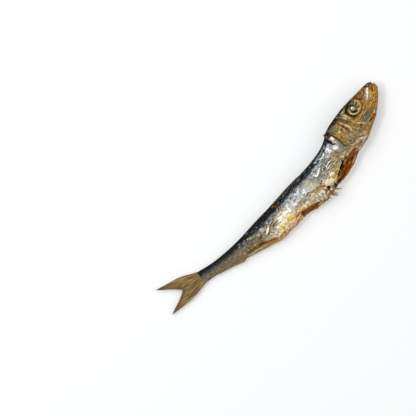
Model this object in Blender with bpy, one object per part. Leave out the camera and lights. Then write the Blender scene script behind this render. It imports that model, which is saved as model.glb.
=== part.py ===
"""A dried sardine, lying on its left flank with its right flank up.

Frame: metres, +Z up, the head towards +X, the back towards +Y. The origin is below the
middle of the fish, on the surface that it lies on.

The body is one loft. It is worked out in the fish's own coordinates, in millimetres:
  along   distance from the snout towards the tail, along the bent midline
  height  distance from the midline, + towards the back and - towards the belly
  side    distance from the middle plane, + towards the right flank, which is up
place() bends the midline and turns these to metres in the frame above.
"""

import math

import bmesh
import bpy
import numpy as np

MM = 0.001

# Overall sizes, in millimetres
BODY_LENGTH = 98.0  # snout to the root of the tail fin
SNOUT_ROUNDING = 1.1  # the stretch over which the snout rounds off
REST_HEIGHT = 4.15  # the head's midline above the surface; what is wider lies flat on it
TAIL_DROOP = 2.5  # how much nearer the surface the tail root is
DROOP_START = 16.0
SNOUT_AT = (56.74, 5.52)  # puts the origin below the middle of the fish

# The bend of the dried fish, hollow towards the back, in degrees
SNOUT_TILT = 21.0  # the head's axis against +X
EVEN_BEND = 0.26  # degrees for each millimetre, as far as the tail stalk
NAPE_BEND = 0.28  # what the bend gains at its sharpest
NAPE_BEND_AT = 36.0
NAPE_BEND_REACH = 24.0
BEND_END = (78.0, 104.0)

# Outlines, as (along, distance from the midline)
BACK_LINE = (
    (0.0, 1.2), (2.0, 2.3), (5.2, 3.65), (9.2, 5.2), (13.3, 6.55), (17.1, 7.25), (22.3, 7.75),
    (25.3, 7.5), (27.6, 6.75), (30.0, 6.25), (37.0, 6.05), (45.0, 6.35), (52.0, 6.55),
    (59.0, 6.1), (66.0, 5.55), (72.0, 4.8), (77.0, 3.9), (85.0, 2.85), (92.0, 2.35), (98.0, 2.6),
)
BELLY_LINE = (
    (0.0, 2.1), (2.0, 3.25), (6.3, 4.95), (9.3, 5.85), (10.4, 6.2), (12.0, 6.35), (16.5, 6.9),
    (19.0, 7.15), (22.0, 6.9), (24.6, 6.7), (29.5, 7.45), (35.0, 7.55), (39.5, 7.2), (43.5, 7.55),
    (48.0, 7.1), (53.6, 5.65), (55.6, 5.9), (60.0, 6.05), (65.4, 6.3), (69.0, 5.6), (73.0, 4.75),
    (78.0, 3.9), (85.0, 2.75), (92.0, 2.3), (98.0, 2.4),
)
HALF_WIDTH = (
    (0.0, 1.1), (3.7, 2.1), (7.4, 2.9), (12.0, 3.55), (18.0, 3.95), (23.0, 4.0), (27.0, 3.6),
    (45.0, 3.65), (56.0, 3.25), (67.0, 2.7), (77.0, 1.95), (88.0, 1.1), (98.0, 0.4),
)
BACK_FULLNESS = 0.78  # powers of the section: under 1 is full and round,
BELLY_FULLNESS = 1.12  # over 1 draws in to a keel
KEEL_START = (22.0, 40.0)  # the head's underside is rounder than the belly
THROAT_FULLNESS = 0.85

# Head: the eye, the arc of bone below it, the jaws and the gill cover
EYE_AT = (11.0, 2.45)
ORBIT_RADII = (3.5, 2.8)
ORBIT_SINK = 0.45
ORBIT_RIM = 0.2
EYEBALL_RADII = (2.75, 2.3, 1.5)
EYEBALL_DEPTH = 1.3  # its centre, below the skin
CHEEK_ARC = 1.42  # radius of the arc below the eye, in orbit radii
CHEEK_ARC_RISE = 0.2
JAW_TOP = (1.6, -0.27)  # height at the snout and slope of the upper jaw's top edge
MOUTH_LINE = (0.0, -0.46)
JAW_REAR = (8.6, -0.38)  # along at the midline, and slope, of the upper jaw's rear edge
JAW_RISE = 0.2
MOUTH_DEPTH = 0.24
MOUTH_BREADTH = 0.6
MOUTH_END = 10.0
LIPS_PART = (0.45, -0.1)  # along and height of the bottom of the notch between the lips
JAW_JOINT = (10.2, -5.6, 1.1)
JAW_JOINT_RADIUS = 0.65
GILL_EDGE = 25.3  # along, where the gill cover's rear edge reaches furthest
GILL_EDGE_HEIGHT = -1.0
GILL_EDGE_SWEEP = (0.02, 0.21)  # how the edge curves forward above and below there
GILL_COVER_START = 16.8
GILL_COVER_RISE = 0.4
GILL_STEP = (-0.2, 0.9)
CHEEK_FOLD = (17.0, 0.2)
CHEEK_FOLD_DEPTH = 0.16

# Trunk
NAPE_KNOB = (25.7, 7.1, 0.6)
NAPE_KNOB_RADIUS = 0.65
NAPE_SLIT = (27.0, 4.3)
NAPE_SLIT_SIZE = (0.55, 2.0)
NAPE_SLIT_DEPTH = 0.55
FLANK_HOLLOW = 0.3  # the dried flank sinks between the back and the belly
FLANK_HOLLOW_AT = 1.0
FLANK_HOLLOW_REACH = 1.9
WRINKLE = 0.17
WRINKLE_CELLS = (34, 14)  # along the body and round it
WRINKLE_SEED = 11

# The torn belly of the shown flank: the skin has drawn back from brown flesh in two places
TEAR_ONE = (24.0, 37.8)
TEAR_ONE_TOP = ((24.0, -4.4), (27.0, -3.8), (30.5, -3.2), (33.0, -4.0), (37.8, -5.6))
TEAR_TWO = (46.8, 54.4)
TEAR_TWO_TOP = (-5.5, 0.3)  # height at its start, and slope
TEAR_DEPTH = 0.6
TEAR_EDGE = 0.55  # half of the breadth over which the skin falls to the flesh
TEAR_LIP = 0.25
EDGE_RAGGED = 0.14
EDGE_CELLS = 60
EDGE_SEED = 5

# Fins: the tail fin, half closed; the folded fins on the back and at the vent
FIN_THICKNESS = 0.5
TAIL_FIN_START = 95.0
TAIL_FIN_NOTCH = 106.5
TAIL_FIN_TIP = 115.5
TAIL_FIN_HALF_ROOT = 2.1
TAIL_FIN_HALF_TIP = 5.6
TAIL_RAYS = 9
BACK_FIN = (43.5, 60.5)
BACK_FIN_RISE = 0.4
VENT_FIN = (79.0, 91.0)
VENT_FIN_RISE = 1.0
BURIED = 1.2  # how deep a folded fin's root sits in the body

# Stubs of broken belly fin rays: (along at the root, along at the tip, height at the tip)
RAY_STUBS = ((40.2, 38.1, -9.2), (41.6, 40.9, -9.6), (42.2, 41.6, -9.1), (43.6, 43.1, -8.2))
STUB_RADIUS = 0.3
STUB_ROOT_HEIGHT = -6.0
STUB_SIDE = 0.4

# Mesh density: column spacing along the body as (up to, spacing), and points on each flank
COLUMNS = ((2.0, 0.4), (28.0, 0.6), (80.0, 1.0), (98.0, 1.8))
POINTS_SHOWN = 26
POINTS_UNDER = 16
FLANK_SHARE = 0.72  # under 1 sets a flank's points closer at its middle

FISH_COLOUR = (0.36, 0.33, 0.27, 1.0)


def smoothstep(low, high, value):
    """0 below low, 1 above high, and an S-curve between them."""
    t = np.clip((value - low) / (high - low), 0.0, 1.0)
    return t * t * (3.0 - 2.0 * t)


def ridge(distance, width):
    """1 at a line and fading to 0 about two widths away from it."""
    return np.exp(-((distance / width) ** 2))


def curve_through(points, at):
    """A smooth curve through (x, y) points: a cubic between neighbours, with averaged slopes."""
    x, y = np.array(points, float).T
    slope = np.gradient(y, x)
    i = np.clip(np.searchsorted(x, at, side="right") - 1, 0, len(x) - 2)
    step = x[i + 1] - x[i]
    t = np.clip((at - x[i]) / step, 0.0, 1.0)
    start = (1 + 2 * t) * (1 - t) ** 2 * y[i] + t * (1 - t) ** 2 * step * slope[i]
    end = t * t * (3 - 2 * t) * y[i + 1] + t * t * (t - 1) * step * slope[i + 1]
    return start + end


def lattice_noise(along_share, round_share, cells, seed):
    """Smooth noise from -1 to 1: random values on a grid, which closes on itself round the body."""
    values = np.random.default_rng(seed).uniform(-1.0, 1.0, (cells[0] + 2, cells[1]))
    u, v = along_share * cells[0], round_share * cells[1]
    i, j = np.floor(u).astype(int), np.floor(v).astype(int)
    p, q = smoothstep(0.0, 1.0, u - i), smoothstep(0.0, 1.0, v - j)
    i, j, k = np.clip(i, 0, cells[0]), j % cells[1], (j + 1) % cells[1]
    near = values[i, j] * (1 - q) + values[i, k] * q
    far = values[i + 1, j] * (1 - q) + values[i + 1, k] * q
    return near * (1 - p) + far * p


def midline(along):
    """Where the bent midline runs: its points and the direction of the back, in millimetres."""
    fine = np.linspace(0.0, TAIL_FIN_TIP + 2.0, 600)
    fading = 1.0 - smoothstep(*BEND_END, fine)
    peak = NAPE_BEND * np.exp(-(((fine - NAPE_BEND_AT) / NAPE_BEND_REACH) ** 2))
    bend = EVEN_BEND * fading + peak
    step = fine[1] - fine[0]
    turned = np.concatenate([[0.0], np.cumsum((bend[1:] + bend[:-1]) / 2 * step)])
    tilt = np.radians(SNOUT_TILT - turned)
    middle = (tilt[1:] + tilt[:-1]) / 2
    x = SNOUT_AT[0] - np.concatenate([[0.0], np.cumsum(np.cos(middle) * step)])
    y = SNOUT_AT[1] - np.concatenate([[0.0], np.cumsum(np.sin(middle) * step)])
    angle = np.interp(along, fine, tilt)
    return np.interp(along, fine, x), np.interp(along, fine, y), -np.sin(angle), np.cos(angle)


def place(along, height, side):
    """Fish coordinates in millimetres to metres in the frame. Nothing goes below the surface."""
    x, y, back_x, back_y = midline(along)
    droop = TAIL_DROOP * smoothstep(DROOP_START, BODY_LENGTH, along)
    z = np.maximum(side + REST_HEIGHT - droop, 0.0)
    return np.stack([x + back_x * height, y + back_y * height, z], axis=-1) * MM


def head_relief(along, height):
    """How far the head's bones stand out, for either flank, in millimetres."""
    eye = np.hypot((along - EYE_AT[0]) / ORBIT_RADII[0], (height - EYE_AT[1]) / ORBIT_RADII[1])
    relief = -ORBIT_SINK * (1.0 - smoothstep(0.75, 1.1, eye))
    relief += ORBIT_RIM * ridge(eye - 1.15, 0.2)
    below_eye = smoothstep(2.5, 0.0, height - EYE_AT[1] + 2.0)
    relief += CHEEK_ARC_RISE * ridge(eye - CHEEK_ARC, 0.16) * below_eye

    jaw_top = JAW_TOP[0] + JAW_TOP[1] * along
    mouth = MOUTH_LINE[0] + MOUTH_LINE[1] * along
    jaw_rear = JAW_REAR[0] + JAW_REAR[1] * height
    in_jaw = smoothstep(-0.35, 0.35, jaw_top - height) * smoothstep(-0.2, 0.5, height - mouth)
    relief += JAW_RISE * in_jaw * smoothstep(-0.4, 0.4, jaw_rear - along)
    mouth_shut = 1.0 - smoothstep(MOUTH_END - 1.5, MOUTH_END, along)
    relief -= MOUTH_DEPTH * ridge(height - mouth, MOUTH_BREADTH) * mouth_shut

    fold = CHEEK_FOLD[0] + CHEEK_FOLD[1] * height
    relief -= CHEEK_FOLD_DEPTH * ridge(along - fold, 0.6) * smoothstep(6.0, 4.5, height)
    return relief


def gill_edge(height):
    """Where the gill cover ends, along the body, at each height: a rounded edge."""
    above = height - GILL_EDGE_HEIGHT
    sweep = np.where(above > 0, GILL_EDGE_SWEEP[0], GILL_EDGE_SWEEP[1])
    return GILL_EDGE - sweep * above**2


def gill_cover_relief(along, height):
    """The gill cover rises towards its rear edge, and then steps down to the trunk."""
    edge = gill_edge(height)
    rise = smoothstep(GILL_COVER_START, GILL_EDGE, along)
    return GILL_COVER_RISE * rise * (1.0 - smoothstep(*GILL_STEP, along - edge))


def tear_cover(along, height):
    """1 where the belly skin has drawn back from the flesh, 0 where it is whole."""
    top = curve_through(TEAR_ONE_TOP, along)
    one = smoothstep(-TEAR_EDGE, TEAR_EDGE, top - height)
    one *= smoothstep(-0.8, 0.8, along - TEAR_ONE[0]) * smoothstep(-0.8, 0.8, TEAR_ONE[1] - along)
    top = TEAR_TWO_TOP[0] + TEAR_TWO_TOP[1] * (along - TEAR_TWO[0])
    two = smoothstep(-TEAR_EDGE, TEAR_EDGE, top - height)
    two *= smoothstep(-0.8, 0.8, along - TEAR_TWO[0]) * smoothstep(-0.6, 0.6, TEAR_TWO[1] - along)
    return np.maximum(one, two)


def tear_relief(along, height):
    """The torn places lie lower than the skin, whose edge curls up along the first."""
    lip = ridge(height - curve_through(TEAR_ONE_TOP, along) - 0.9, 0.6)
    lip *= smoothstep(27.0, 30.0, along) * smoothstep(38.0, 36.0, along)
    return TEAR_LIP * lip - TEAR_DEPTH * tear_cover(along, height)


def trunk_relief(along, height, round_share):
    """The slit behind the nape, the sunken flank and the wrinkles of the dried skin."""
    slit = ridge(along - NAPE_SLIT[0], NAPE_SLIT_SIZE[0])
    slit *= ridge(height - NAPE_SLIT[1], NAPE_SLIT_SIZE[1])
    hollow = ridge(height - FLANK_HOLLOW_AT, FLANK_HOLLOW_REACH)
    hollow *= smoothstep(27.0, 36.0, along) * smoothstep(94.0, 78.0, along)
    share = along / BODY_LENGTH
    wrinkles = lattice_noise(share, round_share, WRINKLE_CELLS, WRINKLE_SEED)
    wrinkles *= smoothstep(26.0, 30.0, along) * smoothstep(BODY_LENGTH, 84.0, along)
    return WRINKLE * wrinkles - FLANK_HOLLOW * hollow - NAPE_SLIT_DEPTH * slit


def body_surface(along, turn):
    """The skin at each distance along and turn round the body: height and side, in millimetres.

    turn is an angle: -90 degrees is the belly, 0 the right flank and 90 the back.
    """
    rounding = np.sqrt(1.0 - np.clip(1.0 - along / SNOUT_ROUNDING, 0.0, 1.0) ** 2)
    back = curve_through(BACK_LINE, along) * rounding
    belly = curve_through(BELLY_LINE, along) * rounding
    width = curve_through(HALF_WIDTH, along) * rounding
    share = along / BODY_LENGTH
    ragged = lattice_noise(share, np.zeros_like(share), (EDGE_CELLS, 1), EDGE_SEED)
    belly += EDGE_RAGGED * ragged * smoothstep(26.0, 34.0, along) * smoothstep(74.0, 66.0, along)

    keel = THROAT_FULLNESS + (BELLY_FULLNESS - THROAT_FULLNESS) * smoothstep(*KEEL_START, along)
    across, up = np.cos(turn), np.sin(turn)
    power = keel + (BACK_FULLNESS - keel) * smoothstep(-0.8, 0.8, up)
    height = (back - belly) / 2 + (back + belly) / 2 * up
    side = width * np.sign(across) * np.abs(across) ** power * (1.0 + 0.1 * up)

    round_share = (turn / (2 * math.pi) + 0.25) % 1.0
    relief = head_relief(along, height) * smoothstep(GILL_EDGE + 1, GILL_EDGE - 2, along)
    relief += gill_cover_relief(along, height)
    relief += trunk_relief(along, height, round_share)
    shown = smoothstep(-0.1, 0.1, across)
    relief += tear_relief(along, height) * shown
    relief *= smoothstep(0.0, 0.35, np.abs(across)) * smoothstep(0.0, 2.0, along)

    out_height = -np.gradient(side, axis=1)
    out_side = np.gradient(height, axis=1)
    length = np.hypot(out_height, out_side) + 1e-9
    return height + relief * out_height / length, side + relief * out_side / length


def columns_along():
    """Distances along the body of the loft's rings: close on the head, wider on the trunk."""
    stops = [0.15]
    for end, spacing in COLUMNS:
        count = max(1, round((end - stops[-1]) / spacing))
        stops += list(np.linspace(stops[-1], end, count + 1)[1:])
    return np.array(stops)


def mesh_object(name, points, faces, collection):
    """A new mesh object with these points, in metres, and faces."""
    mesh = bpy.data.meshes.new(name)
    mesh.from_pydata([tuple(p) for p in points], [], faces)
    mesh.update()
    made = bpy.data.objects.new(name, mesh)
    collection.objects.link(made)
    return made


def ring_faces(rings, count):
    """Quads between neighbouring rings of count points each, and fans at the two ends."""
    faces = []
    for r in range(rings - 1):
        for k in range(count):
            a, b = r * count + k, r * count + (k + 1) % count
            faces.append((a, a + count, b + count, b))
    first, last = rings * count, rings * count + 1
    base = (rings - 1) * count
    faces += [(first, k, (k + 1) % count) for k in range(count)]
    faces += [(last, base + (k + 1) % count, base + k) for k in range(count)]
    return faces


def turns_round():
    """Turns of a ring's points, in radians: the shown flank from belly to back, then under it."""
    turns = []
    for start, count in ((0.0, POINTS_SHOWN), (math.pi, POINTS_UNDER)):
        share = np.linspace(-1.0, 1.0, count, endpoint=False)
        warped = FLANK_SHARE * share + (1.0 - FLANK_SHARE) * share**3
        turns.append(start + math.pi / 2 * warped)
    return np.concatenate(turns)


def make_body(collection):
    """The fish from the snout to the tail root: rings of points joined into one closed loft."""
    stops = columns_along()
    turns = turns_round()
    padded = np.concatenate([turns[-1:] - 2 * math.pi, turns, turns[:1] + 2 * math.pi])
    along, turn = np.meshgrid(stops, padded, indexing="ij")
    height, side = body_surface(along, turn)
    skin = place(along, height, side)[:, 1:-1].reshape(-1, 3)
    tip = place(np.array(LIPS_PART[0]), np.array(LIPS_PART[1]), np.array(0.0))
    root = place(np.array(BODY_LENGTH + 0.4), np.array(0.0), np.array(0.0))
    points = np.concatenate([skin, [tip, root]])
    return mesh_object("sardine", points, ring_faces(len(stops), len(turns)), collection)


def make_ball(name, at, radii, count, collection):
    """An egg-shaped knob or eye in fish coordinates, with count points round it."""
    rings = count // 2
    slope = np.linspace(-math.pi / 2, math.pi / 2, rings + 2)[1:-1, None]
    turn = np.linspace(0.0, 2 * math.pi, count, endpoint=False)[None, :]
    along = at[0] + radii[0] * np.cos(slope) * np.cos(turn)
    height = at[1] + radii[1] * np.cos(slope) * np.sin(turn)
    side = at[2] + radii[2] * np.sin(slope) + 0.0 * turn
    ends = np.array([-1.0, 1.0])
    poles = place(at[0] + 0.0 * ends, at[1] + 0.0 * ends, at[2] + radii[2] * ends)
    points = np.concatenate([place(along, height, side).reshape(-1, 3), poles])
    return mesh_object(name, points, ring_faces(rings, count), collection)


def make_eyes(collection):
    """The two eyeballs, sunk in their orbits."""
    eyes = []
    for name, sign in (("right eye", 1), ("left eye", -1)):
        skin = curve_through(HALF_WIDTH, EYE_AT[0])
        at = (*EYE_AT, sign * (skin - EYEBALL_DEPTH))
        eyes.append(make_ball(name, at, EYEBALL_RADII, 20, collection))
    return eyes


def blade(name, along, height, side, thickness, collection):
    """A thin closed blade: a grid of points in the fish's plane, thickened to both sides."""
    rows, across = along.shape
    half = thickness / 2
    faces = []
    upper = place(along, height, side + half).reshape(-1, 3)
    lower = place(along, height, side - half).reshape(-1, 3)
    n = rows * across
    for r in range(rows - 1):
        for k in range(across - 1):
            a = r * across + k
            faces.append((a, a + across, a + across + 1, a + 1))
            faces.append((n + a, n + a + 1, n + a + across + 1, n + a + across))
    rim = [r * across for r in range(rows)]
    rim += [(rows - 1) * across + k for k in range(1, across)]
    rim += [r * across + across - 1 for r in range(rows - 2, -1, -1)]
    rim += [k for k in range(across - 2, 0, -1)]
    for a, b in zip(rim, rim[1:] + rim[:1]):
        faces.append((b, a, n + a, n + b))
    return mesh_object(name, np.concatenate([upper, lower]), faces, collection)


def make_tail_fin(collection):
    """The forked tail fin, half closed, thinner between its rays and towards its rear edge."""
    across = np.linspace(-1.0, 1.0, 2 * TAIL_RAYS + 1)[None, :]
    out = np.linspace(0.0, 1.0, 9)[:, None]
    start, notch = TAIL_FIN_START, TAIL_FIN_NOTCH
    length = notch - start + (TAIL_FIN_TIP - notch) * np.abs(across) ** 1.3
    along = start + length * out - 0.8 * (out * across) ** 8
    flare = 0.55 * smoothstep(0.0, 0.55, out) + 0.45 * out
    height = (TAIL_FIN_HALF_ROOT + (TAIL_FIN_HALF_TIP - TAIL_FIN_HALF_ROOT) * flare) * across
    rays = 1.0 + 0.25 * np.cos(across * TAIL_RAYS * math.pi)
    thickness = FIN_THICKNESS * rays * (1.3 - 0.7 * out)
    side = 0.25 * np.sin(3.0 * across + 1.0) * out
    return blade("tail fin", along, height, side, thickness, collection)


def make_folded_fin(name, span, line, rise, sign, collection):
    """A fin folded down along the back or the belly: a low blade, highest near its front."""
    out = np.linspace(0.0, 1.0, 3)[None, :]
    share = np.linspace(0.0, 1.0, 19)[:, None]
    along = span[0] + (span[1] - span[0]) * share + out * 0.8
    crest = rise * smoothstep(0.0, 0.14, share) * (1.0 - 0.75 * share)
    root = curve_through(line, along) - BURIED
    height = sign * (root + (crest + BURIED) * out)
    side = 0.12 * np.sin(share * 9.0) * out
    thickness = FIN_THICKNESS * (1.2 - 0.4 * out) + 0.0 * share
    if sign < 0:
        along, height, side, thickness = (v[:, ::-1] for v in (along, height, side, thickness))
    return blade(name, along, height, side, thickness, collection)


def make_ray_stub(number, root_along, tip_along, tip_height, collection):
    """One broken belly fin ray: a six-sided spike from inside the belly to its tip."""
    start = place(np.array(root_along), np.array(STUB_ROOT_HEIGHT), np.array(STUB_SIDE))
    end = place(np.array(tip_along), np.array(tip_height), np.array(STUB_SIDE))
    path = bpy.data.curves.new(f"ray stub {number}", "CURVE")
    path.dimensions = "3D"
    path.bevel_depth = STUB_RADIUS * MM
    path.bevel_resolution = 0
    path.use_fill_caps = True
    spline = path.splines.new("POLY")
    spline.points.add(1)
    spline.points[0].co = (*start, 1.0)
    spline.points[1].co = (*end, 1.0)
    spline.points[1].radius = 0.45
    guide = bpy.data.objects.new(path.name, path)
    collection.objects.link(guide)
    return as_mesh(guide)


def as_mesh(curve):
    """The curve object made a mesh with its caps welded, in the same place."""
    bpy.context.view_layer.update()
    graph = bpy.context.evaluated_depsgraph_get()
    mesh = bpy.data.meshes.new_from_object(curve.evaluated_get(graph))
    work = bmesh.new()
    work.from_mesh(mesh)
    bmesh.ops.remove_doubles(work, verts=work.verts, dist=1e-6)
    bmesh.ops.recalc_face_normals(work, faces=work.faces)
    work.to_mesh(mesh)
    work.free()
    made = bpy.data.objects.new(curve.name + " solid", mesh)
    made.matrix_world = curve.matrix_world
    for collection in curve.users_collection:
        collection.objects.link(made)
    bpy.data.objects.remove(curve)
    return made


def fuse(body, parts, collection):
    """Joins the parts to the body by one Boolean union, and removes them."""
    union = body.modifiers.new("fins", "BOOLEAN")
    union.operation = "UNION"
    union.operand_type = "COLLECTION"
    union.collection = collection
    union.solver = "EXACT"
    bpy.context.view_layer.update()
    graph = bpy.context.evaluated_depsgraph_get()
    fused = bpy.data.meshes.new_from_object(body.evaluated_get(graph))
    body.modifiers.clear()
    body.data = fused
    for part in parts:
        bpy.data.objects.remove(part)
    bpy.data.collections.remove(collection)


def fish_material():
    """Dried fish skin: silver grey with a brown cast, half glossy."""
    material = bpy.data.materials.new("dried fish skin")
    material.use_nodes = True
    shader = material.node_tree.nodes["Principled BSDF"]
    shader.inputs["Base Color"].default_value = FISH_COLOUR
    shader.inputs["Roughness"].default_value = 0.38
    shader.inputs["Metallic"].default_value = 0.35
    return material


def main():
    for old in list(bpy.data.objects):
        bpy.data.objects.remove(old)
    fish = bpy.data.collections.new("dried sardine")
    fins = bpy.data.collections.new("fins to fuse")
    bpy.context.scene.collection.children.link(fish)
    bpy.context.scene.collection.children.link(fins)

    body = make_body(fish)
    parts = [make_tail_fin(fins), *make_eyes(fins)]
    parts.append(make_folded_fin("back fin", BACK_FIN, BACK_LINE, BACK_FIN_RISE, 1, fins))
    parts.append(make_folded_fin("vent fin", VENT_FIN, BELLY_LINE, VENT_FIN_RISE, -1, fins))
    for number, stub in enumerate(RAY_STUBS):
        parts.append(make_ray_stub(number, *stub, fins))
    parts.append(make_ball("nape knob", NAPE_KNOB, (NAPE_KNOB_RADIUS,) * 3, 10, fins))
    parts.append(make_ball("jaw joint", JAW_JOINT, (JAW_JOINT_RADIUS,) * 3, 10, fins))
    fuse(body, parts, fins)
    body.data.materials.clear()
    body.data.materials.append(fish_material())
    body.data.shade_smooth()


main()
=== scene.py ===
"""The looks of a dried sardine that lies on its left flank, as a Blender add-on run as a script.

Every surface is worked out in the fish's own coordinates, in millimetres:
  along   distance from the snout towards the tail, along the bent midline
  height  distance from the midline, + towards the back and - towards the belly
  side    distance from the middle plane, + towards the right flank, which is up
place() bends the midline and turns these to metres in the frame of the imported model. The spans
and places in the functions that shape and paint the skin are in these coordinates too.
"""

import itertools
import math
from collections import namedtuple

import bpy
import numpy as np
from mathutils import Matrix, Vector


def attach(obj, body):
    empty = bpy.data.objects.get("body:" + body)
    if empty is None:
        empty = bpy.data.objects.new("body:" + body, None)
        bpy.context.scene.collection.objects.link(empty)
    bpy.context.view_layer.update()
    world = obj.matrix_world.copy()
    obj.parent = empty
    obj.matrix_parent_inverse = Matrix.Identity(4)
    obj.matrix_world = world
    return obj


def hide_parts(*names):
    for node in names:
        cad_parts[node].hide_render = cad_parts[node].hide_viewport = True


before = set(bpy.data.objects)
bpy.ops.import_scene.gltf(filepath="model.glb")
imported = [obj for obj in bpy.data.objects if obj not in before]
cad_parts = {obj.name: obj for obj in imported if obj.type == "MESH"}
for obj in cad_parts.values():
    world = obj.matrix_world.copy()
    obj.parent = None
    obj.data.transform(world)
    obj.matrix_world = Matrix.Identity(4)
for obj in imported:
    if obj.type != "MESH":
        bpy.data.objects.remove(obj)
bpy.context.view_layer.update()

bl_info = {
    "name": "Dried sardine",
    "version": (1, 0, 0),
    "blender": (4, 5, 0),
    "location": "View3D > Sidebar > Sardine",
    "description": "Builds the skin, eyes, fins and torn edges of a dried sardine, and a stage",
    "category": "Add Mesh",
}

MM = 0.001
NODE = "sardine"

# The solid's form, in millimetres and degrees, repeated from the part's source
BODY_LENGTH = 98.0
SNOUT_ROUNDING = 1.1
REST_HEIGHT = 4.15
TAIL_DROOP = 2.5
DROOP_START = 16.0
SNOUT_AT = (56.74, 5.52)
SNOUT_TILT = 21.0
EVEN_BEND = 0.26
NAPE_BEND = 0.28
NAPE_BEND_AT = 36.0
NAPE_BEND_REACH = 24.0
BEND_END = (78.0, 104.0)
BACK_LINE = (
    (0.0, 1.2), (2.0, 2.3), (5.2, 3.65), (9.2, 5.2), (13.3, 6.55), (17.1, 7.25), (22.3, 7.75),
    (25.3, 7.5), (27.6, 6.75), (30.0, 6.25), (37.0, 6.05), (45.0, 6.35), (52.0, 6.55),
    (59.0, 6.1), (66.0, 5.55), (72.0, 4.8), (77.0, 3.9), (85.0, 2.85), (92.0, 2.35), (98.0, 2.6),
)
BELLY_LINE = (
    (0.0, 2.1), (2.0, 3.25), (6.3, 4.95), (9.3, 5.85), (10.4, 6.2), (12.0, 6.35), (16.5, 6.9),
    (19.0, 7.15), (22.0, 6.9), (24.6, 6.7), (29.5, 7.45), (35.0, 7.55), (39.5, 7.2), (43.5, 7.55),
    (48.0, 7.1), (53.6, 5.65), (55.6, 5.9), (60.0, 6.05), (65.4, 6.3), (69.0, 5.6), (73.0, 4.75),
    (78.0, 3.9), (85.0, 2.75), (92.0, 2.3), (98.0, 2.4),
)
HALF_WIDTH = (
    (0.0, 1.1), (3.7, 2.1), (7.4, 2.9), (12.0, 3.55), (18.0, 3.95), (23.0, 4.0), (27.0, 3.6),
    (45.0, 3.65), (56.0, 3.25), (67.0, 2.7), (77.0, 1.95), (88.0, 1.1), (98.0, 0.4),
)
BACK_FULLNESS = 0.78
BELLY_FULLNESS = 1.12
KEEL_START = (22.0, 40.0)
THROAT_FULLNESS = 0.85
EYE_AT = (11.0, 2.45)
ORBIT_RADII = (3.5, 2.8)
ORBIT_SINK = 0.45
ORBIT_RIM = 0.2
JAW_TOP = (1.6, -0.27)
MOUTH_LINE = (0.0, -0.46)
JAW_REAR = (8.6, -0.38)
JAW_RISE = 0.2
MOUTH_DEPTH = 0.24
MOUTH_END = 10.0
GILL_EDGE = 25.3
GILL_EDGE_HEIGHT = -1.0
GILL_EDGE_SWEEP = (0.02, 0.21)
GILL_COVER_START = 16.8
GILL_COVER_RISE = 0.4
CHEEK_FOLD = (17.0, 0.2)
CHEEK_FOLD_DEPTH = 0.16
FLANK_HOLLOW = 0.3
FLANK_HOLLOW_AT = 1.0
FLANK_HOLLOW_REACH = 1.9
WRINKLE = 0.17
WRINKLE_CELLS = (34, 14)
WRINKLE_SEED = 11
TEAR_ONE = (24.0, 37.8)
TEAR_ONE_TOP = ((24.0, -4.4), (27.0, -3.8), (30.5, -3.2), (33.0, -4.0), (37.8, -5.6))
TEAR_TWO = (46.8, 54.4)
TEAR_TWO_TOP = (-5.5, 0.3)
TEAR_DEPTH = 0.6
TEAR_LIP = 0.25
EDGE_RAGGED = 0.14
EDGE_CELLS = 60
EDGE_SEED = 5
TAIL_FIN_START = 95.0
TAIL_FIN_NOTCH = 106.5
TAIL_FIN_TIP = 115.5
TAIL_FIN_HALF_ROOT = 2.1
TAIL_FIN_HALF_TIP = 5.6
BACK_FIN = (43.5, 60.5)
BACK_FIN_RISE = 0.4
VENT_FIN = (79.0, 91.0)
VENT_FIN_RISE = 1.0

# Finer form, which only the looks have
COLUMNS = 600  # rings of the skin
POINTS_SHOWN = 98  # of each ring, on the shown flank
POINTS_UNDER = 58  # and on the one underneath
FLANK_SHARE = 0.78  # how evenly they are spread; the rest bunches them at the flank's middle
LIP_NOTCH = (-0.12, 0.26, 0.7)  # height, half breadth and depth of the notch between the lips
LIPS_FORWARD = (0.27, 0.42)  # how far the upper and the lower lip stand ahead of the snout's end
SCUTE_SPACING = 1.7  # between the teeth of the keel
SCUTE_RISE = 0.13
SCALE_SPACING = (1.7, 1.45)  # along and across the rows of scale pockets
SCALE_LIFT = 0.045
HIDDEN_PLANE = 40.0  # where the hidden flank's noise is looked up, so that it differs
TAIL_RAYS = 18  # before they split in two
TAIL_FIN_THICKNESS = 0.55
FOLDED_FIN_THICKNESS = 0.5
TORN_EDGE_OVERLAP = 0.55  # how far above the tear its curled edge starts
TORN_EDGE_THICKNESS = 0.12
LOOSE_SCALE_POINTS = 9
LOOSE_SCALE_THICKNESS = 0.06
EYE_GRID = (60, 96)  # rings, and points round each ring
KNOB_GRID = (16, 24)
CRUMB_GRID = (8, 12)
BRISTLE_POINTS = 10  # round each broken ray

# The dry film's pattern, which is too fine for the mesh
FILM_GRAINS = 3.6  # to the millimetre
FILM_BLOTCHES = 0.9  # to the millimetre
FILM_GRAIN_HEIGHT = 0.12 * MM
FILM_SHADES = (0.82, 1.16)  # of the colour, between the grains and on them
COAT_ROUGHNESS = 0.25

# The photograph's framing
PHOTO_SIDE = 416
PHOTO_PIXEL = 0.37 * MM  # one pixel of the photograph, on the fish
SNOUT_PIXEL = (371.8, 82.9)
CAMERA_TURN = -47.8
LENS = 300.0
SENSOR = 36.0
OUTLINE_HEIGHT = 4.0 * MM  # the fish's outline lies about this far above the floor


# ---------------------------------------------------------------- sums


def smoothstep(low, high, value):
    """0 below low, 1 above high, and an S-curve between them."""
    t = np.clip((value - low) / (high - low), 0.0, 1.0)
    return t * t * (3.0 - 2.0 * t)


def ridge(distance, width):
    """1 at a line and fading to 0 about two widths away from it."""
    return np.exp(-((distance / width) ** 2))


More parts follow.
